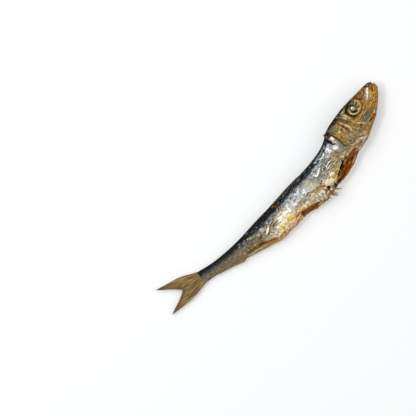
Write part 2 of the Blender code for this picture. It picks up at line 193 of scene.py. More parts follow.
def curve_through(points, at):
    """A smooth curve through (x, y) points: a cubic between neighbours, with averaged slopes."""
    x, y = np.array(points, float).T
    slope = np.gradient(y, x)
    i = np.clip(np.searchsorted(x, at, side="right") - 1, 0, len(x) - 2)
    step = x[i + 1] - x[i]
    t = np.clip((at - x[i]) / step, 0.0, 1.0)
    start = (1 + 2 * t) * (1 - t) ** 2 * y[i] + t * (1 - t) ** 2 * step * slope[i]
    end = t * t * (3 - 2 * t) * y[i + 1] + t * t * (t - 1) * step * slope[i + 1]
    return start + end


def lattice_noise(along_share, round_share, cells, seed):
    """The solid's own noise: random values on a grid that closes on itself round the body."""
    values = np.random.default_rng(seed).uniform(-1.0, 1.0, (cells[0] + 2, cells[1]))
    u, v = along_share * cells[0], round_share * cells[1]
    i, j = np.floor(u).astype(int), np.floor(v).astype(int)
    p, q = smoothstep(0.0, 1.0, u - i), smoothstep(0.0, 1.0, v - j)
    i, j, k = np.clip(i, 0, cells[0]), j % cells[1], (j + 1) % cells[1]
    near = values[i, j] * (1 - q) + values[i, k] * q
    far = values[i + 1, j] * (1 - q) + values[i + 1, k] * q
    return near * (1 - p) + far * p


def random_slopes():
    """256 directions spread evenly over a sphere, for the gradient noise."""
    turned = np.random.default_rng(7).normal(size=(256, 3))
    return turned / np.linalg.norm(turned, axis=1)[:, None]


SLOPES = random_slopes()
# Primes that scatter the random slopes over the grid and the seeds
HASH_PRIMES = (73856093, 19349663, 83492791)
SEED_PRIME = 7919
MIXING_PRIME = 1274126177
NOISE_TOP = 1.7  # what brings the noise's usual peaks to 1


def noise(seed, x, y, z):
    """Gradient noise from about -1 to 1: a random slope at each whole-number point, blended."""
    x, y, z = np.broadcast_arrays(x, y, z)
    cells = [np.floor(c).astype(np.int64) for c in (x, y, z)]
    parts = [c - k for c, k in zip((x, y, z), cells)]
    fades = [t * t * t * (t * (t * 6.0 - 15.0) + 10.0) for t in parts]
    total = np.zeros(x.shape)
    for corner in itertools.product((0, 1), repeat=3):
        key = np.full(x.shape, seed * SEED_PRIME, np.int64)
        for cell, bit, prime in zip(cells, corner, HASH_PRIMES):
            key ^= (cell + bit) * prime
        key = ((key ^ (key >> 13)) * MIXING_PRIME) & 0x7FFFFFFF
        slope = SLOPES[(key >> 9) & 255]
        dot = sum(slope[..., a] * (parts[a] - corner[a]) for a in range(3))
        for fade, bit in zip(fades, corner):
            dot = dot * (fade if bit else 1.0 - fade)
        total += dot
    return total * NOISE_TOP


def rough(seed, x, y, z, octaves=3):
    """Noise with finer noise added to it, each octave twice as fine and half as strong."""
    total = np.zeros(np.broadcast(x, y, z).shape)
    for octave in range(octaves):
        total += noise(seed + octave, x * 2**octave, y * 2**octave, z * 2**octave) / 2**octave
    return total / 1.6


def linear(code):
    """An sRGB hex colour as linear red, green, blue and alpha."""
    values = [int(code[i : i + 2], 16) / 255 for i in (1, 3, 5)]
    turned = [v / 12.92 if v <= 0.04045 else ((v + 0.055) / 1.055) ** 2.4 for v in values]
    return (*turned, 1.0)


# ---------------------------------------------------------------- the fish's form


def midline(along):
    """Where the bent midline runs: its points and the direction of the back, in millimetres."""
    fine = np.linspace(0.0, TAIL_FIN_TIP + 2.0, 600)
    fading = 1.0 - smoothstep(*BEND_END, fine)
    peak = NAPE_BEND * np.exp(-(((fine - NAPE_BEND_AT) / NAPE_BEND_REACH) ** 2))
    bend = EVEN_BEND * fading + peak
    step = fine[1] - fine[0]
    turned = np.concatenate([[0.0], np.cumsum((bend[1:] + bend[:-1]) / 2 * step)])
    tilt = np.radians(SNOUT_TILT - turned)
    middle = (tilt[1:] + tilt[:-1]) / 2
    x = SNOUT_AT[0] - np.concatenate([[0.0], np.cumsum(np.cos(middle) * step)])
    y = SNOUT_AT[1] - np.concatenate([[0.0], np.cumsum(np.sin(middle) * step)])
    angle = np.interp(along, fine, tilt)
    ahead = np.minimum(along, 0.0)
    x = np.interp(along, fine, x) - np.cos(tilt[0]) * ahead
    y = np.interp(along, fine, y) - np.sin(tilt[0]) * ahead
    return x, y, -np.sin(angle), np.cos(angle)


def place(along, height, side):
    """Fish coordinates in millimetres to metres in the frame. Nothing goes below the floor."""
    x, y, back_x, back_y = midline(along)
    droop = TAIL_DROOP * smoothstep(DROOP_START, BODY_LENGTH, along)
    z = np.maximum(side + REST_HEIGHT - droop, 0.0)
    return np.stack([x + back_x * height, y + back_y * height, z], axis=-1) * MM


def head_relief(along, height):
    """How far the head's bones stand out, for either flank, in millimetres."""
    eye = np.hypot((along - EYE_AT[0]) / ORBIT_RADII[0], (height - EYE_AT[1]) / ORBIT_RADII[1])
    relief = -ORBIT_SINK * (1.0 - smoothstep(0.86, 1.06, eye))
    relief += ORBIT_RIM * ridge(eye - 1.12, 0.12)

    jaw_top = JAW_TOP[0] + JAW_TOP[1] * along
    mouth = MOUTH_LINE[0] + MOUTH_LINE[1] * along
    jaw_rear = JAW_REAR[0] + JAW_REAR[1] * height
    in_jaw = smoothstep(-0.3, 0.3, jaw_top - height) * smoothstep(-0.2, 0.4, height - mouth)
    relief += JAW_RISE * in_jaw * smoothstep(-0.3, 0.3, jaw_rear - along)
    mouth_shut = 1.0 - smoothstep(MOUTH_END - 1.5, MOUTH_END, along)
    relief -= MOUTH_DEPTH * ridge(height - mouth, 0.35) * mouth_shut

    fold = CHEEK_FOLD[0] + CHEEK_FOLD[1] * height
    relief -= CHEEK_FOLD_DEPTH * ridge(along - fold, 0.5) * smoothstep(6.0, 4.5, height)
    return relief


def gill_edge(height):
    """Where the gill cover ends, along the body, at each height: a rounded edge."""
    above = np.maximum(height, -7.2) - GILL_EDGE_HEIGHT
    sweep = np.where(above > 0, GILL_EDGE_SWEEP[0], GILL_EDGE_SWEEP[1])
    return GILL_EDGE - sweep * above**2


def gill_cover_relief(along, height):
    """The gill cover rises towards its rear edge, and then steps down to the trunk."""
    rise = smoothstep(GILL_COVER_START, GILL_EDGE, along)
    return GILL_COVER_RISE * rise * (1.0 - smoothstep(-0.15, 0.3, along - gill_edge(height)))


def head_share(along, height, soft_ahead, soft_behind):
    """1 on the head, fading to 0 from so far ahead of the gill cover's edge to so far behind."""
    return smoothstep(soft_behind, -soft_ahead, along - gill_edge(height))


def torn(along, height, edge):
    """1 where the belly skin has drawn back from the flesh, over a breadth of twice the edge."""
    top = curve_through(TEAR_ONE_TOP, along)
    one = smoothstep(-edge, edge, top - height)
    one *= smoothstep(-0.6, 0.6, along - TEAR_ONE[0]) * smoothstep(-0.6, 0.6, TEAR_ONE[1] - along)
    top = TEAR_TWO_TOP[0] + TEAR_TWO_TOP[1] * (along - TEAR_TWO[0])
    two = smoothstep(-edge, edge, top - height)
    two *= smoothstep(-0.5, 0.5, along - TEAR_TWO[0]) * smoothstep(-0.3, 0.3, TEAR_TWO[1] - along)
    return np.maximum(one, two)


def section(along, turn):
    """The smooth skin with no relief: height and side at a distance along and a turn round it.

    Height is an ellipse between the belly and back lines. Side is the half width times the
    cosine of the turn raised to a power, which is small at the back and large at the keel.
    """
    rounding = np.sqrt(1.0 - np.clip(1.0 - along / SNOUT_ROUNDING, 0.0, 1.0) ** 2)
    back = curve_through(BACK_LINE, along) * rounding
    belly = curve_through(BELLY_LINE, along) * rounding
    width = curve_through(HALF_WIDTH, along) * rounding
    share = along / BODY_LENGTH
    ragged = lattice_noise(share, np.zeros_like(share), (EDGE_CELLS, 1), EDGE_SEED)
    belly += EDGE_RAGGED * ragged * smoothstep(26.0, 34.0, along) * smoothstep(74.0, 66.0, along)

    keel = THROAT_FULLNESS + (BELLY_FULLNESS - THROAT_FULLNESS) * smoothstep(*KEEL_START, along)
    across, up = np.cos(turn), np.sin(turn)
    power = keel + (BACK_FULLNESS - keel) * smoothstep(-0.8, 0.8, up)
    height = (back - belly) / 2 + (back + belly) / 2 * up
    side = width * np.sign(across) * np.abs(across) ** power * (1.0 + 0.1 * up)
    return height, side


def carried_on(along, turn, height, side):
    """The height, carried on over the back and under the belly as a distance round the body.

    On the flanks it is the height itself. Towards the ridge of the back and towards the keel
    the height hardly changes any more, so the way that the side goes inwards is added to it.
    """
    up = np.sin(turn)
    start = np.where(up > 0, 0.42, 0.26) * curve_through(HALF_WIDTH, along)
    inwards = np.maximum(start - np.abs(side), 0.0)
    return height + np.sign(up) * inwards**2 / (inwards + 0.6)


STROKE_REACH = 2.6  # in breadths of a stroke, past which it has no effect
FAR_AWAY = 9.0  # the distance that is given to the points past it, in breadths
THIN_END = 0.45  # the breadth at a stroke's ends, as a share of that in its middle
SMOOTH_STEPS = 5  # points of a smooth curve for each step of its path


def smooth_path(path):
    """Points of a smooth curve through a path, and their places on the path.

    A place counts the path's own points from 0.
    """
    path = np.array(path, float)
    knots = np.arange(len(path))
    places = np.linspace(0, len(path) - 1, SMOOTH_STEPS * (len(path) - 1) + 1)
    columns = [curve_through(np.stack([knots, column], 1), places) for column in path.T]
    return np.stack(columns, 1), places


def stroke(along, height, path, breadth):
    """How far each point is from a drawn line, in breadths of the line.

    The line is a smooth curve through the path's (along, height) points, thinner at its ends.
    """
    line, _ = smooth_path(path)
    reach = STROKE_REACH * breadth
    near = (along > line[:, 0].min() - reach) & (along < line[:, 0].max() + reach)
    near &= (height > line[:, 1].min() - reach) & (height < line[:, 1].max() + reach)
    points = np.stack([along[near], height[near]], -1)
    best = np.full(len(points), 1e9)
    at = np.zeros(len(points))
    for number, (a, b) in enumerate(zip(line[:-1], line[1:])):
        t = np.clip((points - a) @ (b - a) / np.dot(b - a, b - a), 0.0, 1.0)
        gap = np.linalg.norm(points - (a + t[:, None] * (b - a)), axis=1)
        closer = gap < best
        best = np.where(closer, gap, best)
        at = np.where(closer, (number + t) / (len(line) - 1), at)
    thin = THIN_END + (1.0 - THIN_END) * np.clip(np.sin(np.pi * at), 0.0, 1.0) ** 0.5
    ratio = np.full(along.shape, FAR_AWAY)
    ratio[near] = best / (breadth * thin)
    return ratio


def ellipse(along, height, at, radii, turn=0.0):
    """How far each point is from an ellipse's middle, 1 on its edge; turned by some degrees."""
    c, s = math.cos(math.radians(turn)), math.sin(math.radians(turn))
    x, y = along - at[0], height - at[1]
    return np.hypot((x * c + y * s) / radii[0], (y * c - x * s) / radii[1])


def patch(along, height, at, radii, turn=0.0, soft=0.45):
    """1 inside an ellipse and 0 outside it, soft over a share of its radius on both sides."""
    return 1.0 - smoothstep(1.0 - soft, 1.0 + soft, ellipse(along, height, at, radii, turn))


def scale_pockets(along, height):
    """The skin's pattern of scale pockets: 0 to 1, rising over each one towards its rear edge.

    Discs stand in rows, and every other row is shifted by half a disc. Where discs overlap,
    the one nearest to the head covers the one behind it.
    """
    pitch, row_pitch = SCALE_SPACING
    radius = 0.8 * pitch
    foremost = np.full(along.shape, np.inf)
    for row, column in itertools.product((-1, 0, 1), repeat=2):
        number = np.floor(height / row_pitch) + row
        shift = (number % 2) * 0.5
        middle = (np.floor(along / pitch - shift) + column + shift) * pitch
        distance = np.hypot(along - middle, height - (number + 0.5) * row_pitch)
        foremost = np.where((distance < radius) & (middle < foremost), middle, foremost)
    covered = np.isfinite(foremost)
    rise = (along - np.where(covered, foremost, along)) / radius
    return np.where(covered, 0.5 + 0.5 * rise, 0.5)


# ---------------------------------------------------------------- relief


def solid_relief(along, height, turn, shown):
    """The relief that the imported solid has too, outwards from the smooth skin."""
    relief = head_relief(along, height) * smoothstep(GILL_EDGE + 1.0, GILL_EDGE - 2.0, along)
    relief += gill_cover_relief(along, height)
    hollow = ridge(height - FLANK_HOLLOW_AT, FLANK_HOLLOW_REACH)
    relief -= FLANK_HOLLOW * hollow * smoothstep(27.0, 36.0, along) * smoothstep(94.0, 78.0, along)
    round_share = (turn / (2 * math.pi) + 0.25) % 1.0
    waves = lattice_noise(along / BODY_LENGTH, round_share, WRINKLE_CELLS, WRINKLE_SEED)
    relief += WRINKLE * waves * smoothstep(26.0, 30.0, along) * smoothstep(98.0, 84.0, along)
    ragged = 0.35 * rough(17, along / 1.3, height / 1.3, 0.0)
    opened = torn(along + ragged, height + ragged, 0.2)
    lip = torn(along + ragged, height + ragged, 0.55) * (1.0 - opened)
    lip *= 1.0 - patch(along, height, (32.4, -4.2), (4.2, 1.5), 12.0)
    relief += (TEAR_LIP * 3.0 * lip - TEAR_DEPTH * opened) * shown
    return relief


def noise_plane(shown):
    """The third coordinate of the skin's noise, which gives each flank a pattern of its own."""
    return np.where(shown > 0.5, 0.0, HIDDEN_PLANE)


def fine_relief(along, height, shown):
    """Relief that only the looks have: wrinkles, scale pockets and fine bone grain."""
    trunk = smoothstep(-0.4, 0.9, along - gill_edge(height))
    plane = noise_plane(shown)
    bend = 0.9 * noise(31, along / 7.0, height / 4.0, plane)
    fold = 0.45 - np.abs(noise(32, along / 4.4, (height + bend) / 0.8, plane))
    fine = noise(33, along / 1.5, (height + bend) / 0.42, plane)
    smooth_patch = patch(along, height, (44.9, 1.0), (3.0, 2.3)) * shown
    crumpled = smoothstep(48.0, 40.0, along) * smoothstep(28.0, 32.0, along)
    relief = ((0.05 + 0.07 * crumpled) * fold + 0.05 * fine) * trunk * (1.0 - 0.75 * smooth_patch)
    netted = smoothstep(29.0, 34.0, along) * smoothstep(6.0, 4.5, height) * (1.0 - smooth_patch)
    relief += SCALE_LIFT * (scale_pockets(along, height) - 0.5) * netted
    relief += 0.05 * rough(41, along / 0.9, height / 0.9, plane, 2)
    grain = noise(45, along / 1.7, height / 0.3, plane)
    return relief + 0.03 * grain * (1.0 - trunk)


def drawn_relief(along, height, shown):
    """The relief of the drawn patches and strokes, on the flanks that each of them is on."""
    relief = np.zeros(along.shape)
    head = head_share(along, height, 0.1, 0.1)
    for mark, share in every_mark(head, 1.0 - head, 1.0, shown):
        if mark.rise:
            relief += mark.relief(along, height) * share
    return relief


def skin(along, turn):
    """The finished skin at each distance along and turn round the body, in fish coordinates.

    The relief moves each point along the normal of its cross-section, which is found from
    the section a little before and after it.
    """
    step = 1e-3
    height, side = section(along, turn)
    height_after, side_after = section(along, turn + step)
    height_before, side_before = section(along, turn - step)
    out_height, out_side = side_before - side_after, height_after - height_before
    length = np.hypot(out_height, out_side) + 1e-12

    shown = smoothstep(-0.1, 0.1, np.cos(turn))
    crown = smoothstep(0.0, 0.35, np.abs(np.cos(turn)))
    relief = solid_relief(along, height, turn, shown) * crown
    reach = carried_on(along, turn, height, side)
    relief += fine_relief(along, reach, shown) * (0.35 + 0.65 * crown)
    relief += drawn_relief(along, reach, shown) * crown
    relief *= smoothstep(0.0, 2.0, along)
    tooth = (along / SCUTE_SPACING) % 1.0
    saw = smoothstep(-0.88, -0.99, np.sin(turn)) * smoothstep(24.0, 30.0, along)
    relief += SCUTE_RISE * tooth**1.5 * saw * smoothstep(80.0, 74.0, along)

    moved_height = height + relief * out_height / length
    moved_side = side + relief * out_side / length
    notch_height, notch_breadth, notch_depth = LIP_NOTCH
    notch = notch_depth * ridge(height - notch_height, notch_breadth)
    upper, lower = LIPS_FORWARD
    lips = lower + (upper - lower) * smoothstep(-0.5, 0.2, height)
    moved_along = along + (notch - lips) * smoothstep(1.6, 0.0, along)
    return moved_along, moved_height, moved_side


def turn_at(along, height):
    """The turn round the shown flank at which the smooth skin has a height."""
    back, belly = curve_through(BACK_LINE, along), curve_through(BELLY_LINE, along)
    up = np.clip((height - (back - belly) / 2) / ((back + belly) / 2), -0.999, 0.999)
    return np.arcsin(up)


def flank_side(along, height):
    """How far to the side the finished skin of the shown flank is."""
    return skin(along, turn_at(along, height))[2]


# ---------------------------------------------------------------- marks drawn on the skin


class Mark(namedtuple("Mark", "colour strength path breadth rise turn soft",
                      defaults=(0.0, 0.0, 0.45))):
    """A patch or a stroke on the skin: its colour, strength, shape and relief, in millimetres."""

    def colour_share(self, along, height):
        """How much of the mark's colour shows: 1 in its middle, with a fairly crisp edge."""
        if len(self.path) == 1:
            return patch(along, height, self.path[0], self.breadth, self.turn, self.soft)
        return 1.0 - smoothstep(0.55, 1.35, stroke(along, height, self.path, self.breadth))

    def relief(self, along, height):
        """How far the mark stands out of the skin, in millimetres, with rounded flanks."""
        if len(self.path) == 1:
            ratio = ellipse(along, height, self.path[0], self.breadth, self.turn)
        else:
            ratio = stroke(along, height, self.path, self.breadth)
        return self.rise * ridge(ratio, 1.0)


def blot(colour, strength, at, radii, turn=0.0, rise=0.0, soft=0.45):
    """A patch: an ellipse at a point, turned by some degrees."""
    return Mark(colour, strength, (at,), radii, rise, turn, soft)


def line(colour, strength, breadth, *path, rise=0.0):
    """A stroke through some points, of a half breadth in millimetres."""
    return Mark(colour, strength, path, breadth, rise)


# Colours of dried and salted fish, by name, as sRGB hex, and a near white for painted highlights
TINTS = {
    "soot": "#0d0a07",
    "ink": "#121416",
    "slate": "#323d44",
    "steel": "#68737a",
    "silver": "#bcbdbb",
    "frost": "#f3f3f1",
    # near white for painted highlights and glints: on the silver, the jaw, the eye and the loose
    # scales
    "ash": "#85817b",
    "lilac": "#a79da0",
    "cream": "#ccc0a8",
    "ivory": "#f8efd8",
    "straw": "#ead49a",
    "gold": "#dca232",
    "brass": "#a98536",
    "olive": "#84744e",
    "moss": "#6c6c52",
    "dark_moss": "#3e3b2a",
    "tan": "#a08046",
    "sand": "#bda176",
    "amber": "#ab6c12",
    "orange": "#cb861f",
    "rust": "#84420a",
    "russet": "#532401",
    "umber": "#36200b",
    "rose": "#c2a083",
    "copper": "#8c5a28",
    "saffron": "#dcae2a",
    "bark": "#5e4422",
}

# On both flanks of the head, from the snout to the gill cover
HEAD_MARKS = (
    # the snout and upper jaw
    blot("copper", 0.85, (5.6, 2.9), (3.6, 1.3), 32.0),
    blot("rust", 0.55, (6.6, 3.3), (1.6, 0.6), 30.0),
    blot("bark", 0.5, (4.6, 2.4), (2.0, 0.6), 30.0),
    blot("russet", 0.75, (7.5, 3.3), (0.5, 1.5), 10.0),
    blot("umber", 0.8, (7.4, 2.0), (0.5, 0.5), 10.0),
    blot("rose", 0.6, (4.9, 1.9), (1.5, 0.25), 24.0, rise=0.05),
    blot("tan", 0.6, (6.6, 2.4), (0.8, 0.2), 30.0),
    blot("tan", 0.5, (3.9, 2.65), (1.0, 0.16), 30.0),
    blot("soot", 0.9, (0.75, 0.9), (1.3, 0.75), 20.0),
    blot("soot", 0.8, (0.3, 0.0), (0.6, 0.45), 20.0),
    blot("umber", 0.85, (2.1, 1.75), (0.9, 0.4), 34.0),
    # painted grey glints on the black tip of the snout
    blot("ash", 0.85, (1.45, 1.3), (0.5, 0.25), 30.0),
    blot("steel", 0.6, (0.5, 1.0), (0.3, 0.2), 30.0),
    blot("olive", 0.6, (1.0, 0.4), (0.4, 0.2), 20.0),
    line("umber", 0.9, 0.17, (7.4, 1.5), (6.0, 1.3), (4.6, 1.45), (3.4, 1.7), rise=-0.08),
    line("rust", 0.85, 0.15, (7.6, 1.2), (6.2, 1.95), (4.6, 2.4)),
    blot("soot", 0.9, (4.05, 2.0), (0.3, 0.22), rise=-0.08),
    blot("umber", 0.8, (5.4, 2.35), (0.3, 0.15), 20.0, rise=-0.08),
    blot("soot", 0.8, (3.35, 2.75), (0.22, 0.15), rise=-0.08),
    line("soot", 0.85, 0.14, (5.6, 4.0), (4.2, 3.3), (2.8, 2.6)),
    blot("gold", 0.5, (7.0, -0.7), (1.0, 0.5)),
    blot("sand", 0.8, (5.2, -1.2), (2.2, 0.5), 18.0),
    blot("ash", 0.5, (5.6, -2.0), (1.2, 0.25), 14.0),
    blot("sand", 0.8, (6.9, -2.6), (1.5, 0.3), 8.0, rise=0.06),
    blot("cream", 0.75, (4.9, -2.7), (0.5, 0.2), 14.0, rise=0.05),
    blot("straw", 0.5, (3.6, -0.6), (1.0, 0.3), 27.0),
    line("orange", 0.8, 0.13, (7.4, 0.5), (6.0, 0.5), (4.6, 0.85), rise=0.05),
    # painted highlight: the white streak of light along the upper jaw, dimmer and lilac at its rear
    # end
    line("frost", 1.0, 0.38, (5.9, -0.35), (5.0, -0.05), (3.7, 0.5), (2.4, 0.95), rise=0.14),
    line("lilac", 0.9, 0.2, (6.7, -0.5), (6.1, -0.3), (5.5, -0.1), rise=0.06),
    line("rose", 0.7, 0.15, (6.6, 0.25), (5.0, 0.8), (3.0, 1.45)),
    line("amber", 0.9, 0.17, (8.0, -0.85), (6.4, -0.85), (4.6, -0.65), (3.2, 0.1), rise=0.05),
    line("umber", 0.75, 0.12, (7.8, -1.6), (6.0, -1.6), (4.0, -1.4)),
    line("umber", 0.75, 0.12, (8.2, -2.1), (6.6, -2.2), (5.0, -2.3), (3.4, -1.7)),
    line("rust", 0.95, 0.2, (3.0, -1.3), (2.1, -0.5), (1.1, -0.2), (0.2, -0.15), rise=-0.15),
    line("umber", 0.9, 0.16, (9.4, -3.2), (7.4, -3.1), (5.4, -3.05), (3.4, -1.9), (1.6, -0.8),
         rise=-0.1),
    line("rust", 0.6, 0.13, (2.2, 0.5), (2.3, -0.4), (2.6, -1.2)),
    # the lower jaw
    blot("gold", 0.55, (3.0, -2.0), (2.0, 0.5), 32.0),
    line("amber", 0.85, 0.24, (8.8, -3.8), (6.4, -3.6), (4.2, -3.1), (2.4, -2.0), (1.0, -1.1)),
    line("gold", 0.7, 0.14, (8.2, -3.5), (6.0, -3.25), (4.0, -2.6), (2.2, -1.5)),
    line("rust", 0.8, 0.12, (9.6, -4.4), (7.0, -4.05), (4.6, -3.45), (2.0, -2.1), rise=-0.06),
    line("sand", 0.6, 0.16, (9.4, -4.9), (8.0, -4.7), (6.4, -4.3), rise=0.05),
    blot("orange", 0.5, (7.0, -4.5), (1.2, 0.35), 14.0),
    line("amber", 0.9, 0.28, (10.0, -5.75), (7.4, -5.1), (4.6, -4.15), (2.0, -2.75), (0.6, -1.6)),
    blot("orange", 0.45, (4.4, -3.8), (1.9, 0.2), 26.0),
    # the cheek plate
    blot("moss", 0.8, (12.1, -2.8), (2.5, 1.4), 12.0, rise=0.08, soft=0.25),
    blot("bark", 0.6, (12.4, -2.1), (1.4, 0.5), 10.0),
    blot("umber", 0.5, (13.2, -3.0), (0.4, 0.6)),
    line("cream", 0.5, 0.12, (12.9, -1.7), (11.6, -1.55), (10.4, -1.7)),
    blot("silver", 0.35, (12.9, -2.5), (0.6, 0.25), -20.0),
    blot("gold", 0.4, (7.4, -2.1), (1.1, 0.35), 6.0),
    blot("sand", 0.5, (5.2, -1.9), (0.8, 0.35), 20.0),
    blot("brass", 0.35, (15.2, -4.5), (1.6, 0.5)),
    blot("dark_moss", 0.5, (11.2, -2.5), (0.5, 0.6)),
    blot("dark_moss", 0.4, (12.2, -3.5), (0.8, 0.3)),
    line("ash", 0.7, 0.13, (13.9, -1.7), (14.0, -2.9), (13.0, -4.0), rise=0.05),
    line("amber", 0.85, 0.27, (8.2, -1.1), (8.9, -2.1), (9.55, -3.2), (10.1, -4.1), (10.6, -5.6),
         rise=0.12),
    line("bark", 0.5, 0.2, (8.9, -2.1), (9.55, -3.2), (10.1, -4.1), (10.4, -5.0)),
    line("orange", 0.6, 0.1, (8.4, -1.5), (9.1, -2.5), (9.8, -3.7)),
    blot("russet", 0.95, (12.1, -5.0), (1.2, 0.4), 6.0),
    blot("amber", 0.95, (11.4, -4.8), (0.6, 0.4), 10.0, rise=0.08),
    blot("rust", 0.9, (10.6, -5.3), (0.6, 0.45)),
    blot("orange", 0.85, (10.2, -5.9), (0.5, 0.3)),
    blot("ivory", 0.8, (9.7, -4.9), (0.4, 0.16), 30.0),
    line("straw", 0.6, 0.13, (13.4, -4.0), (12.3, -4.4), (11.0, -4.4)),
    blot("rust", 0.7, (13.8, -4.2), (0.22, 0.18)),
    blot("rust", 0.7, (13.0, -4.4), (0.22, 0.18)),
    # round the eye
    blot("dark_moss", 0.7, (13.6, 5.2), (1.6, 0.6), -16.0),
    line("soot", 0.97, 0.62, (13.5, 4.9), (14.55, 3.8), (14.7, 2.7), (14.3, 1.4), (13.3, 0.3)),
    line("umber", 0.9, 0.2, (13.3, 0.2), (12.2, -0.2), (10.8, -0.3)),
    line("umber", 0.8, 0.2, (11.0, -0.3), (9.4, 0.0), (8.2, 0.8)),
    line("soot", 0.95, 0.4, (13.8, 4.6), (12.6, 5.0), (11.0, 5.05), (9.6, 4.65), (8.6, 4.0)),
    line("umber", 0.7, 0.2, (9.6, 4.75), (8.4, 4.0), (7.7, 3.0)),
    line("straw", 0.85, 0.15, (15.3, 4.9), (15.55, 3.6), (15.45, 2.3), (14.9, 1.1), rise=0.08),
    line("moss", 0.8, 0.25, (16.1, 5.0), (16.3, 3.6), (16.0, 2.2)),
    blot("cream", 0.6, (16.4, 4.0), (0.3, 0.7)),
    blot("straw", 0.5, (14.6, 5.7), (1.2, 0.35), 12.0),
    line("soot", 0.9, 0.2, (14.0, 6.5), (11.0, 5.75), (8.0, 4.65), (5.0, 3.5), (2.5, 2.4)),
    line("orange", 1.0, 0.26, (17.8, 2.5), (17.0, 1.1), (15.5, 0.15), (14.5, -0.6), (13.6, -0.87),
         (11.5, -0.95), (9.8, -0.8), (8.8, -0.5), rise=0.2),
    line("amber", 0.95, 0.26, (9.4, -0.65), (8.4, -0.3), (7.6, 0.1), (6.8, 0.3), rise=0.15),
    line("rust", 0.5, 0.16, (8.2, -0.1), (7.4, 0.3), (6.6, 0.5)),
    blot("umber", 0.7, (7.1, 1.3), (0.4, 0.6), -20.0),
    line("gold", 0.6, 0.1, (16.6, 1.0), (15.4, 0.3), (14.4, -0.4)),
    line("umber", 0.75, 0.12, (15.6, -0.5), (14.4, -1.2), (13.0, -1.4), (11.2, -1.35), (9.4, -1.1),
         rise=-0.06),
    # behind the eye
    blot("copper", 0.8, (17.7, 3.0), (0.8, 1.8), -6.0),
    line("umber", 0.9, 0.2, (17.3, 5.2), (17.1, 3.6), (17.0, 2.2), (16.8, 1.2), rise=-0.08),
    line("rust", 0.8, 0.16, (18.2, 5.0), (18.0, 3.6), (17.7, 2.2), rise=0.08),
    # a painted glint
    blot("frost", 0.8, (17.6, 3.7), (0.2, 0.3)),
    blot("soot", 0.9, (17.8, 5.8), (0.75, 0.4)),
    blot("soot", 0.7, (16.6, 6.0), (0.6, 0.3)),
    line("amber", 1.0, 0.3, (17.5, 1.6), (16.9, 0.2), (16.8, -1.5), (16.5, -3.0), (15.9, -3.6),
         rise=0.16),
    line("umber", 0.8, 0.12, (17.3, 0.4), (17.2, -1.4), (16.9, -3.0), rise=-0.08),
    blot("soot", 0.85, (15.7, -2.6), (0.5, 0.35), -30.0),
    line("rust", 0.65, 0.16, (15.9, -3.6), (14.6, -4.5), (12.8, -5.1)),
    line("cream", 0.75, 0.24, (15.8, -0.6), (15.5, -1.6), (14.9, -2.6)),
    line("dark_moss", 0.7, 0.13, (16.1, -1.4), (15.9, -2.6), (15.2, -3.2)),
    line("orange", 0.95, 0.18, (19.1, 5.7), (19.0, 5.0), (19.2, 4.3), rise=0.12),
    blot("ivory", 0.8, (18.9, 4.3), (0.26, 0.5)),
    line("orange", 0.7, 0.22, (18.3, 2.8), (18.4, 1.6), (18.9, 0.4), rise=0.1),
    line("bark", 0.95, 0.3, (19.5, 6.0), (19.3, 4.4), (19.3, 2.4), (19.4, 0.6), rise=0.1),
    line("rust", 0.9, 0.13, (19.7, 5.6), (19.6, 4.2), (19.7, 2.4), (19.7, 0.6), (19.8, -1.0),
         rise=0.1),
    line("umber", 0.95, 0.18, (21.4, 3.3), (20.2, 3.3), (18.2, 3.2)),
    blot("soot", 0.8, (20.7, 2.6), (0.3, 0.45)),
    # the crown
    blot("soot", 0.85, (19.6, 6.6), (2.2, 0.6), 4.0),
    blot("umber", 0.8, (18.4, 6.1), (1.0, 0.45), 8.0),
    # the gill cover, with the last touches behind the eye, at the jaw joint and at the nape
    blot("brass", 0.08, (21.9, 1.4), (3.4, 4.6), soft=0.3),
    blot("moss", 0.6, (21.6, 4.6), (1.4, 0.9)),
    blot("moss", 0.4, (21.8, -1.2), (1.0, 1.2)),
    blot("ash", 0.9, (20.0, -2.6), (0.8, 0.5)),
    line("saffron", 0.65, 0.15, (14.9, 4.4), (15.1, 3.4), (15.0, 2.3)),
    blot("rust", 0.7, (11.2, -5.3), (1.2, 0.3), -6.0),
    blot("moss", 0.7, (22.6, 5.4), (1.9, 0.9)),
    blot("dark_moss", 0.4, (23.6, 5.2), (0.6, 0.8)),
    blot("olive", 0.6, (21.0, 4.6), (1.0, 0.7)),
    blot("olive", 0.7, (21.2, 0.0), (2.4, 1.3)),
    blot("olive", 0.5, (21.4, -1.8), (2.8, 1.4)),
    blot("sand", 0.35, (20.8, -1.2), (1.6, 1.0)),
    blot("straw", 0.4, (23.3, 3.3), (0.4, 0.8)),
    blot("sand", 0.9, (20.45, 2.0), (0.4, 0.8)),
    blot("sand", 0.8, (22.4, 3.3), (0.7, 0.6)),
    blot("straw", 0.4, (22.1, 3.2), (0.35, 0.5)),
    blot("ash", 0.5, (22.6, -1.6), (0.6, 0.6)),
    blot("moss", 0.5, (23.6, -0.4), (0.6, 0.9)),
    blot("bark", 0.45, (24.2, 1.0), (0.35, 1.4)),
    blot("sand", 0.5, (21.5, 0.6), (0.6, 0.9)),
    blot("copper", 0.5, (22.5, 2.2), (0.5, 0.9), -18.0),
    line("brass", 0.75, 0.24, (22.1, 3.1), (22.6, 1.9), (23.1, 0.3)),
    line("gold", 0.4, 0.13, (21.9, 2.4), (22.2, 1.2), (22.5, 0.2)),
    blot("umber", 0.5, (23.4, 1.2), (0.3, 0.5), -12.0),
    line("cream", 0.7, 0.26, (18.7, 3.4), (18.7, 2.0), (18.6, 1.0), (18.9, -0.2)),
    line("umber", 0.85, 0.2, (17.9, 5.6), (17.7, 4.6), (17.5, 2.4)),
    line("bark", 0.6, 0.14, (22.0, 5.0), (22.6, 3.6), (22.4, 2.2)),
    line("bark", 0.6, 0.14, (23.3, 4.4), (23.5, 2.8), (23.3, 1.6)),
    line("bark", 0.6, 0.14, (21.2, 2.6), (21.5, 0.8), (21.2, -1.0)),
